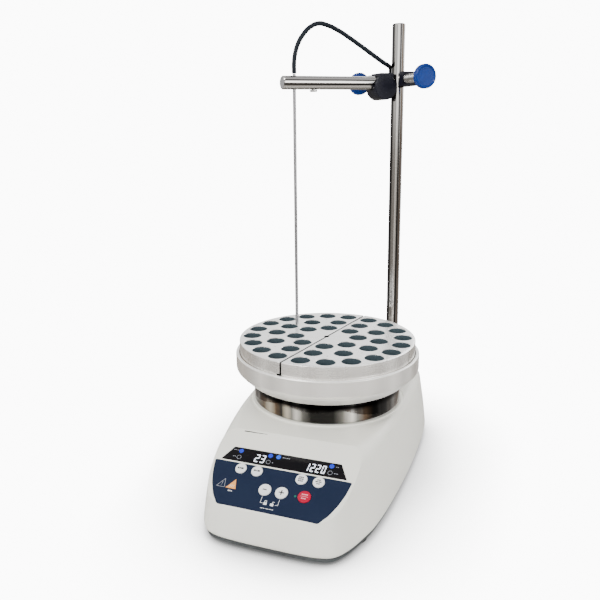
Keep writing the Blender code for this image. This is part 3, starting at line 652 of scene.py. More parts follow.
def case_ring(levels, steps=8):
    """Ring of the case's skin; levels gives the height and inset at a point of the outline."""
    low, top = smooth_outline(LOW_OUTLINE, steps), smooth_outline(TOP_OUTLINE, steps)
    base = 11.0
    ring = []
    count = len(low)
    for i in range(count):
        z, inset = levels(top[i])
        mix = min(1.0, max(0.0, (z - base) / (CASE_TOP - base)))
        p = low[i].lerp(top[i], mix)
        tangent = (low[(i + 1) % count] - low[i - 1]).normalized()
        p = p - Vector((tangent.y, -tangent.x)) * inset
        ring.append((p.x, min(p.y, REAR_Y - max(0.0, inset)), z))
    return ring


def shoulder_radius(point):
    """Radius of the deck's edge, larger towards the panel."""
    mix = min(1.0, max(0.0, (point.y + 95) / 60))
    return SHOULDER[0] + (SHOULDER[1] - SHOULDER[0]) * mix


def slice_panel(bm, depth):
    """Cut off what lies above the panel's plane, set back by a depth, and close the cut."""
    normal = Vector((0, -math.sin(PANEL_TILT), math.cos(PANEL_TILT)))
    cut_geom = bmesh.ops.bisect_plane(bm, geom=bm.verts[:] + bm.edges[:] + bm.faces[:],
                                      plane_co=PANEL_ORIGIN - normal * depth, plane_no=normal,
                                      clear_outer=True, dist=1e-5)["geom_cut"]
    loop = [e for e in cut_geom if isinstance(e, bmesh.types.BMEdge)]
    bmesh.ops.edgeloop_fill(bm, edges=loop)
    return loop


def make_case():
    rings = [case_ring(lambda p, z=z, i=i: (z, i))
             for z, i in ((7.0, 2.2), (7.25, 1.4), (7.8, 0.8), (8.7, 0.35), (10.0, 0.1),
                          (12.0, 0.0), (24.0, -0.35), (36.0, -0.5), (46.0, -0.3))]
    for k in range(9):
        angle = math.pi / 2 * k / 8

        def level(p, a=angle):
            r = shoulder_radius(p)
            return CASE_TOP - r * (1 - math.sin(a)), r * (1 - math.cos(a))
        rings.append(case_ring(level))
    bm = loft(rings)
    edges = slice_panel(bm, 0.0)
    bmesh.ops.bevel(bm, geom=edges, offset=0.7, segments=3, profile=0.5, affect="EDGES",
                    clamp_overlap=True)
    case = make("case_shell", bm, WHITE, sharp=40)
    cavity = loft([case_ring(lambda p, z=z, i=i: (z, i), steps=2)
                   for z, i in ((4.0, WALL), (12.0, WALL), (56.0, WALL + 0.6),
                                (61.5, WALL + 2.5), (CASE_TOP - WALL, WALL + 6.0))])
    slice_panel(cavity, WALL)
    carve(case, cavity)
    collar = lathe(((55.0, 64.5), (69.7, 64.5), (69.7, 67.3), (69.55, 67.65), (69.2, 67.95),
                    (68.7, 68.0), (55.0, 68.0)), 160)
    weld(case, collar)
    groove = lathe(((70.6, 66.55), (71.2, 66.55), (71.5, 68.0), (70.3, 68.0)), 160)
    carve(case, groove)
    carve(case, joined(pin(58.0, 60, 70, segments=96),
                       (pin(7.35, 55, 80), (ROD.x, ROD.y, 0)),
                       rear_box(INLET_X, 13.3, 9.7, -8, 4), rear_box(SWITCH_X, 8.8, 12.3, -8, 4),
                       (pin(6.9, -8, 4, axis="Y"), SENSOR)))
    carve(case, joined(
        prism(corner_rounded(grown(mirrored(OVERLAY), 0.3), 1.6), -0.9, 4),
        prism(corner_rounded(grown(mirrored(DISPLAY), 0.3), 0.8), -0.9, 4)), PANEL)
    carve(case, joined(
        prism(mirrored(((44.0, 41.5), (42.5, 51.5))), -8, 2),
        *[(pin(r + 0.35, -8, 2), (x, y, 0)) for x, y, r in BUTTONS.values()]), PANEL)
    # Slot along the panel's top edge, lined with near black painted shade for the shadow line
    # there.
    slit = prism(((-43.0, 69.2), (-22.5, 69.6), (-22.5, 70.0), (-43.0, 70.3)), -2.4, 3.0)
    carve(case, slit, PANEL, [RECESS_SHADE], sharp=40)
    attach(case, "base", "upper_case")


def make_base():
    def ring(z, inset):
        return case_ring(lambda p: (z, inset), steps=6)
    pan = make("base_tray", loft([ring(2.3, 4.6), ring(2.5, 3.8), ring(3.3, 2.5), ring(5.2, 1.8),
                                  ring(6.5, 1.6), ring(6.7, 1.9)]), GREY, sharp=45)
    carve(pan, loft([ring(5.0, 7.0), ring(9.0, 7.0)]), sharp=45)
    for radius, depth in ((3.6, 4.2), (1.9, 8)):
        carve(pan, joined(*[(pin(radius, 0, depth, segments=32), (x, y, 0))
                            for x, y in CASE_SCREWS]))
    slots = [box((x - 1.1, x + 1.1), (-30, 30), (0, 8), 0.4) for x in range(-35, 36, 7)]
    carve(pan, joined(*slots))
    attach(pan, "base", "base_pan")
    for i, (x, y) in enumerate(FEET, 1):
        turned(f"foot_pad_{i}", ((0, 0.35), (3.0, 0.3), (3.6, 0.0), (6.9, 0.0), (8.0, 0.9),
                                 (8.0, 2.0), (0, 2.0)), RUBBER, "base", f"foot_{i}", 0.3, 64,
               matrix=at(x, y))
    for i, (x, y) in enumerate(CASE_SCREWS, 1):
        profile = ((0, 2.4), (2.9, 2.4), (3.2, 2.7), (3.2, 3.9), (1.5, 3.9), (1.5, 14.0),
                   (0, 14.0))
        screw = make(f"tray_screw_{i}", lathe(rounded(profile, 0.15, 3), 48), STEEL, at(x, y))
        for a, b in ((1.9, 0.35), (0.35, 1.9)):
            carve(screw, box((-a, a), (-b, b), (2.0, 3.2)), at(x, y))
        attach(screw, "base", f"case_screw_{i}")


# ---------------------------------------------------------------- control panel

INK_LIFT, INK_THICK = 0.02, 0.05


def decal(name, polygons, mat, height=INK_LIFT, body="base", thick=INK_THICK, matrix=PANEL):
    """Printed marks: thin plates on the panel film."""
    obj = make(name, joined(*[prism(p, height, height + thick) for p in polygons]), mat, matrix)
    return attach(obj, body)


def bar(x0, y0, x1, y1, width):
    """Straight stroke between two points as a four-sided polygon."""
    a, b = Vector((x0, y0)), Vector((x1, y1))
    side = (b - a).normalized().orthogonal() * width / 2
    return [tuple(p) for p in (a - side, b - side, b + side, a + side)]


def disc(x, y, r, count=40):
    return [(x + r * math.cos(2 * math.pi * k / count), y + r * math.sin(2 * math.pi * k / count))
            for k in range(count)]


def hoop(name, spots, r, width, mat):
    """Thin printed rings."""
    low, high = INK_LIFT, INK_LIFT + INK_THICK
    profile = ((r - width, low), (r, low), (r, high), (r - width, high))
    rings = [(lathe(profile, 40), (x, y, 0)) for x, y in spots]
    return attach(make(name, joined(*rings), mat, PANEL), "base")


SEGMENTS = {"0": "abcdef", "1": "bc", "2": "abged", "3": "abgcd"}


def digit_strokes(char, x, y, w, h, t):
    """Seven-segment strokes of one digit, leaning to the right."""
    lean = 0.10
    m = y + h / 2
    g = t * 0.16
    runs = {"a": (x + g, y + h - t / 2, x + w - g, y + h - t / 2),
            "g": (x + g, m, x + w - g, m), "d": (x + g, y + t / 2, x + w - g, y + t / 2),
            "f": (x + t / 2, m + g, x + t / 2, y + h - g),
            "b": (x + w - t / 2, m + g, x + w - t / 2, y + h - g),
            "e": (x + t / 2, y + g, x + t / 2, m - g),
            "c": (x + w - t / 2, y + g, x + w - t / 2, m - g)}
    out = []
    for key in SEGMENTS[char]:
        x0, y0, x1, y1 = runs[key]
        a, b = Vector((x0, y0)), Vector((x1, y1))
        along = (b - a).normalized()
        side = along.orthogonal() * t / 2
        tip = along * t * 0.42
        shape = (a, a + tip - side, b - tip - side, b, b - tip + side, a + tip + side)
        out.append([(p.x + (p.y - y) * lean, p.y) for p in shape])
    return out


def number(text, x, pitch, width):
    """Digits in a row on the display."""
    out = []
    for k, char in enumerate(text):
        out += digit_strokes(char, x + k * pitch, 42.1, width, 7.3, 0.85)
    return out


def dashes(x, y, lengths, width=0.75, gap=0.5):
    """A row of short strokes where the unit has a tiny legend."""
    out = []
    for length in lengths:
        out.append(bar(x, y, x + length, y, width))
        x += length + gap
    return out


def make_display():
    window = make("display_glass", prism(corner_rounded(mirrored(DISPLAY), 0.7), -0.6, 0.0),
                  WINDOW, PANEL)
    soften(window, 0.12)
    attach(window, "base", "display_window")
    decal("digits_left", number("23", -25.0, 4.9, 3.5), DIGIT)
    decal("digits_right", number("1220", 17.2, 4.45, 3.15), DIGIT)
    decal("lamps_blue", [disc(x, 50.0, 1.95) for x in (-38.2, -12.8, 37.9)], LED_BLUE)
    decal("lamp_pale", [disc(-6.0, 50.0, 1.9)], LED_PALE)
    hoop("lamps_off", [(x, 44.0) for x in (-38.1, -12.8, 38.0)], 1.9, 0.3, INK_GREY)
    legends = []
    for x, y, lengths in ((-44.8, 50.3, (1.2, 0.8, 1.4)), (-43.4, 44.2, (0.9, 1.0)),
                          (-2.6, 50.2, (1.4, 0.7, 1.6, 1.0)), (-9.6, 44.0, (0.9,)),
                          (41.4, 50.0, (0.9, 0.8)), (41.2, 44.0, (1.2, 1.4))):
        legends += dashes(x, y, lengths, 0.6)
    decal("display_legends", legends, INK_GREY)


def make_overlay():
    film = make("panel_film", prism(corner_rounded(mirrored(OVERLAY), 1.4), -0.6, 0.0), NAVY,
                PANEL)
    carve(film, joined(*[(pin(r + 0.35, -3, 3), (x, y, 0))
                         for x, y, r in BUTTONS.values()]), PANEL)
    attach(film, "base", "panel_overlay")
    lines = [bar(-7.0, 13.4, -7.0, 8.3, 0.3), bar(-7.0, 8.3, -5.0, 8.3, 0.3),
              bar(7.0, 13.4, 7.0, 8.3, 0.3), bar(7.0, 8.3, 4.9, 8.3, 0.3)]
    for x, gap in ((-3.0, 0.0), (2.4, 0.9)):
        lines += [[(x - 1.3, 7.1), (x + 1.3, 7.1), (x + 1.3, 9.2), (x - 1.3, 9.2)],
                  bar(x - 0.8 + gap, 9.2, x - 0.8 + gap, 10.6, 0.35),
                  bar(x - 0.8 + gap, 10.6, x + 0.8 + gap, 10.6, 0.35)]
        if not gap:
            lines.append(bar(x + 0.8, 9.2, x + 0.8, 10.6, 0.35))
    lines += dashes(-5.6, 4.2, (2.0, 1.2, 2.6, 1.4, 1.2), 0.4, 0.5)
    lines += dashes(-35.6, 13.0, (0.9, 0.9, 0.9), 0.9, 0.35)
    decal("panel_lines", lines, INK_WHITE)
    corners = ((-46.4, 15.3), (-39.5, 15.3), (-41.2, 22.8))
    outline = [bar(*corners[i], *corners[(i + 1) % 3], 0.35) for i in range(3)]
    outline += [bar(-42.3, 19.8, -42.6, 17.6, 0.4), bar(-42.7, 16.9, -42.8, 16.5, 0.4)]
    decal("caution_outline", outline, INK_GREY)
    decal("caution_hot", [((-38.4, 15.1), (-30.0, 15.1), (-32.6, 23.8))], INK_ORANGE)
    waves = [bar(x, 16.4, x + 0.7, 18.4, 0.35) for x in (-35.6, -34.2, -32.8)]
    decal("caution_marks", waves, INK_WHITE, 0.08)
    decal("lamp_ready", [disc(17.6, 18.9, 0.95)], LED_GREEN)


# Marks on the buttons: rows of dashes (start, height, lengths, width, gap) and plain bars.
BUTTON_ROWS = {
    "button_temp": ((-2.7, 0, (1.2, 1.0, 2.2), 1.5, 0.35),),
    "button_unit": ((-2.7, 0.2, (1.8, 0.6, 2.0), 1.4, 0.4),),
    "button_speed": ((-2.2, 1.5, (1.1, 1.0, 1.1), 1.1, 0.3),
                     (-2.4, -0.1, (1.1, 1.3, 1.2), 1.1, 0.3),
                     (-2.2, -1.7, (1.3, 0.8, 1.1), 1.1, 0.3)),
    "button_set": ((-1.6, 1.7, (1.2, 1.3), 1.0, 0.35), (-2.6, 0.1, (2.1, 2.3), 0.9, 0.4),
                   (-1.4, -1.6, (1.2, 1.1), 1.0, 0.35)),
    "button_start_stop": ((-2.4, 1.7, (1.0, 0.9, 1.2, 0.8), 0.9, 0.3),
                          (-2.0, -1.7, (1.0, 0.9, 1.1), 0.9, 0.3))}
BUTTON_BARS = {
    "button_minus": ((-1.6, 0, 1.6, 0, 0.9),),
    "button_plus": ((-2.1, 0, 2.1, 0, 0.9), (0, -2.1, 0, -0.5, 0.9), (0, 0.5, 0, 2.1, 0.9)),
    "button_start_stop": ((-3.0, 0, 3.0, 0, 0.3),)}


def make_buttons():
    top = 0.62
    for name, (x, y, r) in BUTTONS.items():
        start = name == "button_start_stop"
        place = PANEL @ at(x, y)
        profile = ((0, -4.2), (r + 1.1, -4.2), (r + 1.1, -3.4), (r, -3.4), (r, top - 0.1),
                   (r - 0.75, top), (0, top))
        turned(name + "_cap", profile, START if start else BUTTON, name, name, 0.3, 72,
               matrix=place)
        marks = [bar(*ends) for ends in BUTTON_BARS.get(name, ())]
        for row in BUTTON_ROWS.get(name, ()):
            marks += dashes(*row)
        decal(name + "_mark", marks, INK_PINK if start else INK_DARK, top, name, 0.03, place)


# ---------------------------------------------------------------- heater and block

def make_heater():
    turned("skirt_ring", ((56.0, 68.3), (66.3, 68.3), (67.5, 69.5), (67.5, 84.4), (67.0, 85.0),
                          (66.5, 84.4), (66.5, 69.3), (56.0, 69.3)), SKIRT_METAL, "base",
           "heater_skirt", 0.4, 192)
    turned("plate_disc", ((0, 83.5), (65.6, 83.5), (65.6, 85.3), (67.3, 85.3), (67.3, 86.7),
                          (66.9, 87.1), (0, 87.1)), PLATE, "base", "hot_plate", 0.2, 160)
    turned("carrier_bowl", ((0, 87.4), (71.0, 87.4), (72.6, 87.9), (80.4, 95.6), (82.9, 98.1),
                            (83.6, 99.8), (83.6, 112.2), (82.9, 112.9), (80.9, 112.9),
                            (80.4, 112.4), (80.4, 95.0), (0, 95.0)), CARRIER_ALU, "base",
           "carrier_plate", 0.7, 240)


def hole_centres():
    """Centres of one half's vial holes, with the slit along the Y axis."""
    for radius, angles in HOLE_RINGS:
        for angle in angles:
            for side in (-1, 1):
                a = math.radians(side * angle)
                yield RING_SHIFT + radius * math.cos(a), radius * math.sin(a)


def hole_tool(x, y):
    """Blind hole with a small lead-in; its wall and floor carry the second material, the bore's
    painted shade.
    """
    r, top, floor = HOLE_R, BLOCK_TOP, BLOCK_TOP - HOLE_DEPTH
    bm = lathe(((0, floor), (r, floor), (r, top - 0.45), (r + 0.75, top + 0.3), (0, top + 0.3)),
               48)
    bm.normal_update()
    for face in bm.faces:
        face.material_index = 0 if 0.2 < abs(face.normal.z) < 0.95 else 1
    bmesh.ops.translate(bm, vec=(x, y, 0), verts=bm.verts)
    return bm


def make_block(name, body, node, direction, foot):
    """One half of the vial block: the flat face towards the slit in painted shade, holes, small
    recesses lined with painted shade.
    """
    limit = math.acos(SPLIT_HALF / BLOCK_R)
    arc = [(BLOCK_R * math.cos(a), BLOCK_R * math.sin(a))
           for a in (-limit + 2 * limit * k / 120 for k in range(121))]
    place = at(0, 0, 0, direction)
    half = make(name, prism(arc, BLOCK_BOTTOM, BLOCK_TOP), ALU, place)
    soften(half, 0.5, 3, 50)
    # Second material: the bores' painted shade.
    half.data.materials.append(BORE_SHADE)
    half.data.materials.append(SLIT_FACE)
    # The flat face and its bevels take the slit material, with its painted shade.
    for face in half.data.polygons:
        if face.normal.x < -0.3:
            face.material_index = 2
    tool = joined(*[hole_tool(x, y) for x, y in hole_centres()])
    carve(half, tool, place, [ALU, BORE_SHADE])
    extras = [(pin(2.5, 90, 130, segments=32), (0, 0, 0))]
    extras += [(pin(0.55, BLOCK_TOP - 0.5, 130, segments=16),
                (54 * math.cos(a), 54 * math.sin(a), 0))
               for a in (math.radians(v) for v in (-61, -28, 28, 61))]
    if foot:
        extras.append(box((-1, 3.6), (76, 82), (112.2, 114.1)))
    else:
        extras.append(box((79.6, 82), (-0.35, 0.35), (90, 130)))
    # The centre hole, small holes and notch are lined with near black painted shade.
    carve(half, joined(*extras), place, [RECESS_SHADE])
    half.data.transform(place)
    half.matrix_world = WORLD
    attach(half, body, node)


# ---------------------------------------------------------------- rear fittings

def make_inlet():
    inlet = make("inlet_body", rear_box(INLET_X, 16, 12.5, 0.3, 2.3, 0.6), BLACK)
    weld(inlet, rear_box(INLET_X, 13, 9.4, -14, 1.0))
    socket = corner_rounded(((-49, 29.4), (-27, 29.4), (-27, 40.5), (-31, 44.6), (-45, 44.6),
                             (-49, 40.5)), 1.2)
    carve(inlet, prism(socket, -REAR_Y - 3, -REAR_Y + 11),
          Matrix.Rotation(math.pi / 2, 4, "X"))
    attach(inlet, "base", "power_inlet")
    blades = [box((x - 1, x + 1), (REAR_Y - 13, REAR_Y - 1), (z - 2, z + 2), 0.3)
              for x, z in ((-43.0, 35.0), (-33.0, 35.0), (-38.0, 40.0))]
    attach(make("inlet_blades", joined(*blades), STEEL), "base")


def make_switch():
    surround = make("switch_surround", rear_box(SWITCH_X, 11, 15, 0.3, 1.9, 0.5), BLACK)
    weld(surround, rear_box(SWITCH_X, 8.5, 12, -14, 1.0))
    carve(surround, rear_box(SWITCH_X, 6.7, 10.2, -10, 4))
    attach(surround, "base", "power_switch_frame")
    side = ((-3.5, -3), (4.9, -8.8), (6.0, -8.8), (5.2, -4.5), (4.7, 0), (5.2, 4.5), (6.0, 8.8),
            (4.9, 8.8), (-3.5, 3))
    bm = prism(side, -6.4, 6.4)
    bmesh.ops.transform(bm, matrix=Matrix(((0, 0, 1, 0), (1, 0, 0, 0), (0, 1, 0, 0),
                                           (0, 0, 0, 1))), verts=bm.verts)
    place = Matrix.Translation(Vector((SWITCH_X, REAR_Y - 3.0, REAR_Z)) * MM) @ Matrix.Rotation(
        math.radians(8), 4, "X")
    rocker = make("switch_rocker", bm, START, place, sharp=20)
    soften(rocker, 0.35, 3)
    attach(rocker, "rocker", "power_rocker")


def make_socket():
    turned("sensor_ring", ((0, -12), (6.4, -12), (6.4, 0.3), (9.0, 0.3), (9.0, 2.0), (7.4, 2.3),
                           (7.4, 3.4), (7.0, 3.8), (7.4, 4.2), (7.0, 4.6), (7.4, 5.0),
                           (7.0, 5.4), (7.4, 5.8), (7.0, 7.0), (4.6, 7.0), (4.6, -4.0),
                           (0, -4.0)), STEEL, "base", "sensor_socket", 0.2, 64, "Y",
           at(*SENSOR))
    profile = ((0, -3.4), (4.2, -3.4), (4.2, 7.4), (7.0, 7.4), (7.2, 8.0), (7.2, 13.0),
               (5.4, 14.0), (5.1, 15.6), (4.5, 16.2), (4.8, 17.0), (4.0, 18.2), (4.2, 19.2),
               (3.3, 20.4), (3.2, 22.0), (0, 22.0))
    plug = spun("lead_plug", profile, BLACK, 0.3, 64, at(*SENSOR), "Y")
    grooves = []
    for k in range(18):
        bm = box((-0.35, 0.35), (8.4, 12.6), (6.9, 7.6))
        bmesh.ops.rotate(bm, matrix=Matrix.Rotation(2 * math.pi * k / 18, 3, "Y"),
                         verts=bm.verts)
        grooves.append(bm)
    carve(plug, joined(*grooves), at(*SENSOR))
    attach(plug, "base", "cable_plug")


# ---------------------------------------------------------------- rod, head and probe

def make_rods():
    turned("rod_bush", ((0, 50), (6.0, 50), (7.0, 51), (7.0, 67.3), (10.0, 67.3), (10.0, 69.0),
                        (8.6, 69.4), (8.6, 78.2), (8.0, 78.8), (6.3, 78.8), (6.3, 54.0),
                        (0, 54.0)), STEEL, "base", "rod_socket", 0.3, 96,
           matrix=at(ROD.x, ROD.y))
    turned("rod_upright", ((0, 54.3), (5.2, 54.3), (ROD_R, 55.1), (ROD_R, ROD_TOP - 0.8),
                           (5.2, ROD_TOP), (0, ROD_TOP)), ROD_METAL, "rod", "support_rod", 0.3, 96,
           matrix=at(ROD.x, ROD.y))
    end = ARM_LENGTH + ARM_OVERHANG
    arm = make("arm_bar", pin(ROD_R, -end, -ARM_START, 0.7, 96, "X"), ARM_METAL, HEAD)
    carve(arm, joined((pin(PROBE_R + 0.35, -9, 9), (-ARM_LENGTH, 0, 0)),
                      (pin(2.0, -9, 1.5), (SET_SCREW_X, 0, 0))), HEAD)
    arm.data.materials.append(PROBE_METAL)
    for face in arm.data.polygons:
        if abs(face.normal.x) > 0.9:
            face.material_index = len(arm.data.materials) - 1
    attach(arm, "arm", "arm_rod")
    place = HEAD @ at(SET_SCREW_X, 0)
    profile = ((0, -8.0), (3.0, -8.0), (3.4, -7.6), (3.4, -6.3), (1.65, -6.3), (1.65, 0.6),
               (0, 0.6))
    screw = spun("probe_lock_screw", profile, STEEL, 0.25, 48, place)
    carve(screw, prism(disc(0, 0, 1.5, 6), -9, -6.9), place)
    attach(screw, "set_screw", "probe_set_screw")
    low, top = BLOCK_TOP + 0.3, ARM_Z + 7.6
    turned("probe_stem", ((0, low), (0.9, low), (PROBE_R, low + 0.9), (PROBE_R, top - 1.0),
                          (PROBE_R - 0.2, top), (0, top)), PROBE_METAL, "probe", "probe", 0.3, 48,
           matrix=at(PROBE.x, PROBE.y))


def make_head():
    """Cast clamp head: an open C round the rod, a drum and block round the arm."""
    c_shape = ((-14, 7), (6.8, 7), (6.8, -11), (-5.5, -11), (-5.5, -16.5), (11, -16.5),
               (11, 12), (-14, 12))
    body = make("clamp_head", prism(c_shape, -3.2, 9.6), HEAD_BLACK, HEAD)
    weld(body, pin(11.4, -9.4, 9, 0.6, 96, "Y"), HEAD @ at(-18, 0, -4.2))
    weld(body, box((-24, -10), (-9, 8.6), (-7.5, 8.8), 0.8), HEAD)
    weld(body, pin(6.6, 4, 19, 0.6, 64, "Y"), HEAD @ at(ARM_SCREW_X, 0, ARM_SCREW_Z))
    carve(body, pin(ROD_R + 0.35, -40, -5, axis="X", segments=64), HEAD)
    bore = SCREW_R + 0.3
    carve(body, joined((pin(bore, 0, 25, axis="Y"), (ARM_SCREW_X, 0, ARM_SCREW_Z)),
                       (pin(bore, -25, -6, axis="Y"), (0, 0, ROD_SCREW_Z))), HEAD)
    soften(body, 0.5, 3, 40)
    attach(body, "head", "boss_head")


def make_clamp(body, side, x, z, hub):
    """Clamp screw along the head's Y axis with its disc knob, whose hub starts at a distance."""
    turn = HEAD @ at(x, 0, z, math.pi if side < 0 else 0)
    profile = [(0, 6.3), (2.6, 6.3), (SCREW_R, 7.7)]
    y = 8.4
    while y < hub - 2:
        profile += [(SCREW_R, y), (SCREW_R - 0.38, y + 0.3), (SCREW_R, y + 0.6)]
        y += 1.25
    profile += [(SCREW_R, hub + 4.4), (SCREW_R - 0.3, hub + 4.7), (0, hub + 4.7)]
    turned(body + "_thread", profile, STEEL, body, body + "_screw", 0.12, 64, "Y", turn)
    r, bore = KNOB_R, SCREW_R + 0.3
    knob = ((0, hub + 5.0), (bore, hub + 5.0), (bore, hub), (5.6, hub), (6.2, hub + 1.2),
            (6.2, hub + 2.6), (r - 0.8, hub + 3.2), (r, hub + 4.0), (r, hub + 8.0),
            (r - 0.8, hub + 9.0), (r - 1.7, hub + 9.0), (r - 2.4, hub + 7.9), (0, hub + 8.1))
    obj = spun(body + "_disc", knob, BLUE, 0.45, 120, turn, "Y")
    grips = []
    for k in range(24):
        angle = 2 * math.pi * k / 24
        spot = ((r + 0.25) * math.cos(angle), 0, (r + 0.25) * math.sin(angle))
        grips.append((pin(0.55, hub + 3.0, hub + 8.2, segments=12, axis="Y"), spot))
    carve(obj, joined(*grips), turn)
    attach(obj, body, body + "_knob")


def lead(name, points, bodies, start, end, node):
    """Round cable as a mesh along a curve through the given points."""
    curve = bpy.data.curves.new(name + "_path", "CURVE")
    curve.dimensions = "3D"
    curve.bevel_depth = CABLE_R * MM
    curve.bevel_resolution = 5
    curve.resolution_u = 14
    curve.use_fill_caps = True
    spline = curve.splines.new("BEZIER")
    spline.bezier_points.add(len(points) - 1)
    for knot, p in zip(spline.bezier_points, points):
        knot.co = Vector(p) * MM
        knot.handle_left_type = knot.handle_right_type = "AUTO"
    guide = bpy.data.objects.new(name + "_path", curve)
    COLLECTION.objects.link(guide)
    bpy.context.view_layer.update()
    mesh = bpy.data.meshes.new_from_object(guide.evaluated_get(
        bpy.context.evaluated_depsgraph_get()))
    bpy.data.objects.remove(guide, do_unlink=True)
    bm = bmesh.new()
    bm.from_mesh(mesh)
    bmesh.ops.remove_doubles(bm, verts=bm.verts, dist=1e-6)
    mesh.materials.clear()
    finish_mesh(bm, mesh, [SHEATH], 50)
    obj = bpy.data.objects.new(name, mesh)
    COLLECTION.objects.link(obj)
    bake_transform(obj)
    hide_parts(node)


def make_leads():
    """Probe lead: up from the probe, over to the head, down behind the rod to its plug."""
    top = 7.9
    start = -ARM_LENGTH
    turn = Matrix.Rotation(ARM_ANGLE, 3, "Z")
    centre = Vector((ROD.x, ROD.y, ARM_Z))

    def world(points):
        return [centre + turn @ Vector(p) for p in points]
    rise = world(((start, 0, top), (start, 0, 17), (start + 1.2, 0, 25), (start + 4.4, 0, 34),
                  (start + 9.7, 0, 41.8), (start + 16, 0, 47.6), (start + 24.5, 0, 50.9),
                  (start + 33.5, 0, 49.6), (start + 45, 0, 45.2), (start + 58, 0, 38.3),
                  (start + 69, 0, 32)))
    bend = world(((start + 9, 0, 40), (start + 64, 0, 40)))
    fall = world(((start + 69, 0, 32), (start + 92, 0, 18.6), (-7.4, 5.6, 16.6),
                  (-2.4, 9.6, 15.2), (-0.2, 12.4, 13.8), (1.4, 14.9, 10.6), (2.1, 15.6, 7.6),
                  (2.2, 15.6, 6.0)))
    lead("lead_rise", rise, ("probe", "arm"), *bend, "cable_loop")
    lead("lead_fall", fall, ("arm", "head"), fall[0], fall[-4], "cable_loop")
    x = SENSOR[0]
    upper = world(((2.2, 15.6, 6.0), (2.7, 15.7, 1.0), (3.6, 15.7, -5.0), (6.5, 15.5, -13.0),
                   (8.8, 15.0, -24.0)))
    middle = [Vector(p) for p in ((x, 113.0, 260), (x, 114.0, 200))]
    lower = [Vector(p) for p in ((x, 114.0, 200), (x, 124.0, 120), (x, 145.5, 82),
                                 (x, 155.3, 62), (x, 155.3, 49), (x, 150.5, 42.4),
                                 (x, 144.3, 42.0))]
    lead("lead_upper", upper + middle, ("head", "rod"), upper[-1], middle[-1], "cable_drop")
    lead("lead_lower", lower, ("rod", "base"), lower[0], lower[2], "cable_drop")


# ---------------------------------------------------------------- carried-over nodes

def dress_inside():
    """Internal pieces keep their solids and get their materials."""
    looks = ((BLACK, ["display_module"]), (BOARD, ["control_board", "power_board"]),
             (WOOL, ["insulation_disc"]),
             (MOTOR, ["heating_element", "motor_body", "magnet_a", "magnet_b", "transformer"]),
             (STEEL, ["motor_bracket", "motor_shaft", "magnet_bar", "plate_standoff_1",
                      "plate_standoff_2", "plate_standoff_3"]))
    for mat, nodes in looks:
        for node in nodes:
            for slot in frame["nodes"][node].material_slots:
                slot.link = "OBJECT"
                slot.material = mat


# ---------------------------------------------------------------- studio

FLOOR_GLOW = 11.0       # brightness of floor and background for the camera
SKY_FILL = 1.05         # even light from all sides
# Name, position and size in metres, power in watts and colour of each lamp.
LIGHTS = (("key", (-0.7, -1.3, 1.6), (0.9, 0.9), 40.0, (1.0, 0.99, 0.97)),
          ("fill", (1.5, -0.7, 0.8), (0.8, 1.2), 14.0, (1.0, 1.0, 1.0)),
          ("rim", (0.5, 1.6, 1.3), (1.4, 0.9), 16.0, (1.0, 1.0, 1.0)))
LAMP_AIM = Vector((0, 0, 0.12))     # metres


def surroundings(g, vector):
    """Height of a direction, and the upright cards that polished metal sees there."""
    x, y, z = g.split(vector)
    stops = ((0.0, 0.22), (0.40, 0.28), (0.47, (0.55, 0.48, 0.41)), (0.505, 0.30),
             (0.545, 0.90), (0.58, 0.42), (0.63, 1.70), (0.70, (0.55, 0.48, 0.41)))
    return z, g.ramp(g.bands(g.math("ARCTAN2", y, x), 2.6, 5.0, 0.78), stops)


def make_floor():
    """White floor with a soft contact shadow; polished metal sees the cards in it."""
    mesh = bpy.data.meshes.new("studio_floor")
    bm = bmesh.new()
    bmesh.ops.create_grid(bm, x_segments=8, y_segments=8, size=6.0)
    bm.to_mesh(mesh)
    bm.free()
    floor = bpy.data.objects.new("studio_floor", mesh)
    COLLECTION.objects.link(floor)
    g = new_graph("floor_pale")
    g.put(Base_Color=(0.85, 0.85, 0.85, 1), Roughness=0.9, Specular_IOR_Level=0.1)
    shade = g.node("AmbientOcclusion", samples=24, Distance=0.10).outputs["AO"]
    level = g.remap(g.math("POWER", shade, 3.0), 0.16, FLOOR_GLOW, 0.0, 1.0)
    seen = g.node("Emission", Color=(1, 1, 1, 1), Strength=level).outputs["Emission"]
    cards = surroundings(g, g.geometry("Position"))[1]
    mirror = g.node("Emission", Color=cards, Strength=1.0).outputs["Emission"]
    final = g.choose("Is Glossy Ray", g.shader.outputs["BSDF"], mirror)
    final = g.choose("Is Camera Ray", final, seen)
    g.tree.links.new(final, g.tree.nodes["Material Output"].inputs["Surface"])
    mesh.materials.append(g.owner)


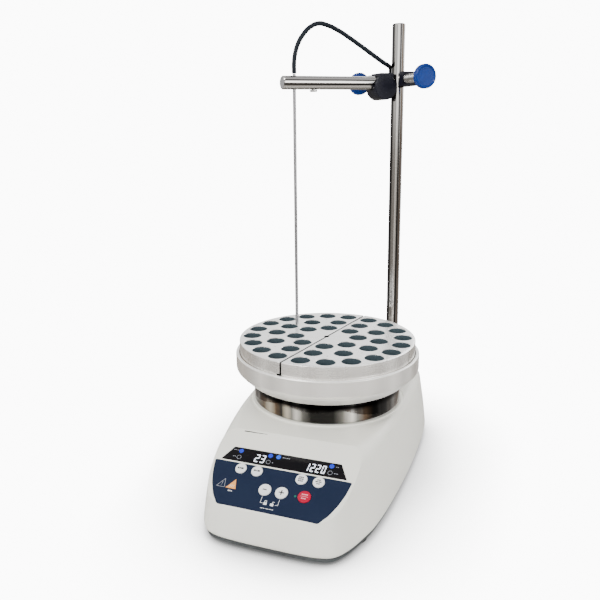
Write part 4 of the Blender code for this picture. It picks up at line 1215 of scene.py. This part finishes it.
def make_world():
    """Even white fill; the camera sees plain white and polished metal the cards."""
    g = Graph(bpy.data.worlds.new("studio"))
    bpy.context.scene.world = g.owner
    height, cards = surroundings(g, g.node("TexCoord").outputs["Generated"])
    sky = g.mix(g.remap(height, 0.0, 1.0, 0.45, 0.75), (1.7, 1.7, 1.68), (0.55, 0.55, 0.56))
    room = g.mix(g.remap(height, 0.0, 1.0, 0.0, 0.10), cards, sky)
    fill, white, mirror = (
        g.node("Background", Color=colour, Strength=strength).outputs["Background"]
        for colour, strength in (((1, 1, 1, 1), SKY_FILL), ((1, 1, 1, 1), FLOOR_GLOW),
                                 (room, 1.0)))
    final = g.choose("Is Camera Ray", g.choose("Is Glossy Ray", fill, mirror), white)
    g.tree.links.new(final, g.tree.nodes["World Output"].inputs["Surface"])


def make_lights():
    """Soft area lamps aimed at the top of the vial block."""
    for name, position, size, power, colour in LIGHTS:
        light = bpy.data.lights.new(name, "AREA")
        light.shape = "RECTANGLE"
        light.size, light.size_y = size
        light.energy = power
        light.color = colour
        lamp = bpy.data.objects.new(name, light)
        COLLECTION.objects.link(lamp)
        lamp.location = position
        lamp.rotation_euler = (LAMP_AIM - Vector(position)).to_track_quat("-Z", "Y").to_euler()


def make_camera():
    """Camera to the right of the panel's middle, looking slightly down; angles in degrees."""
    azimuth, elevation, roll = (math.radians(v) for v in (21.6396, 13.27, -1.1403))
    data = bpy.data.cameras.new("camera")
    data.sensor_width = 36.0
    data.lens = 39.66
    data.shift_x, data.shift_y = 0.045, -0.0283
    camera = bpy.data.objects.new("camera", data)
    COLLECTION.objects.link(camera)
    camera.matrix_world = (Matrix.Translation((0.16906, -0.55736, 0.31256))
                           @ Matrix.Rotation(azimuth, 4, "Z")
                           @ Matrix.Rotation(math.pi / 2 - elevation, 4, "X")
                           @ Matrix.Rotation(roll, 4, "Z"))
    bpy.context.scene.camera = camera


def main():
    make_case()
    make_base()
    make_display()
    make_overlay()
    make_buttons()
    make_heater()
    make_block("vial_block_left", "base", "block_left", SPLIT_ANGLE + math.pi / 2, True)
    make_block("vial_block_right", "vial_block", "block_right", SPLIT_ANGLE - math.pi / 2, False)
    make_inlet()
    make_switch()
    make_socket()
    make_rods()
    make_head()
    make_clamp("rod_clamp", -1, 0.0, ROD_SCREW_Z, 38.5)
    make_clamp("arm_clamp", 1, ARM_SCREW_X, ARM_SCREW_Z, 33.0)
    make_leads()
    dress_inside()
    make_floor()
    make_world()
    make_lights()
    make_camera()


main()
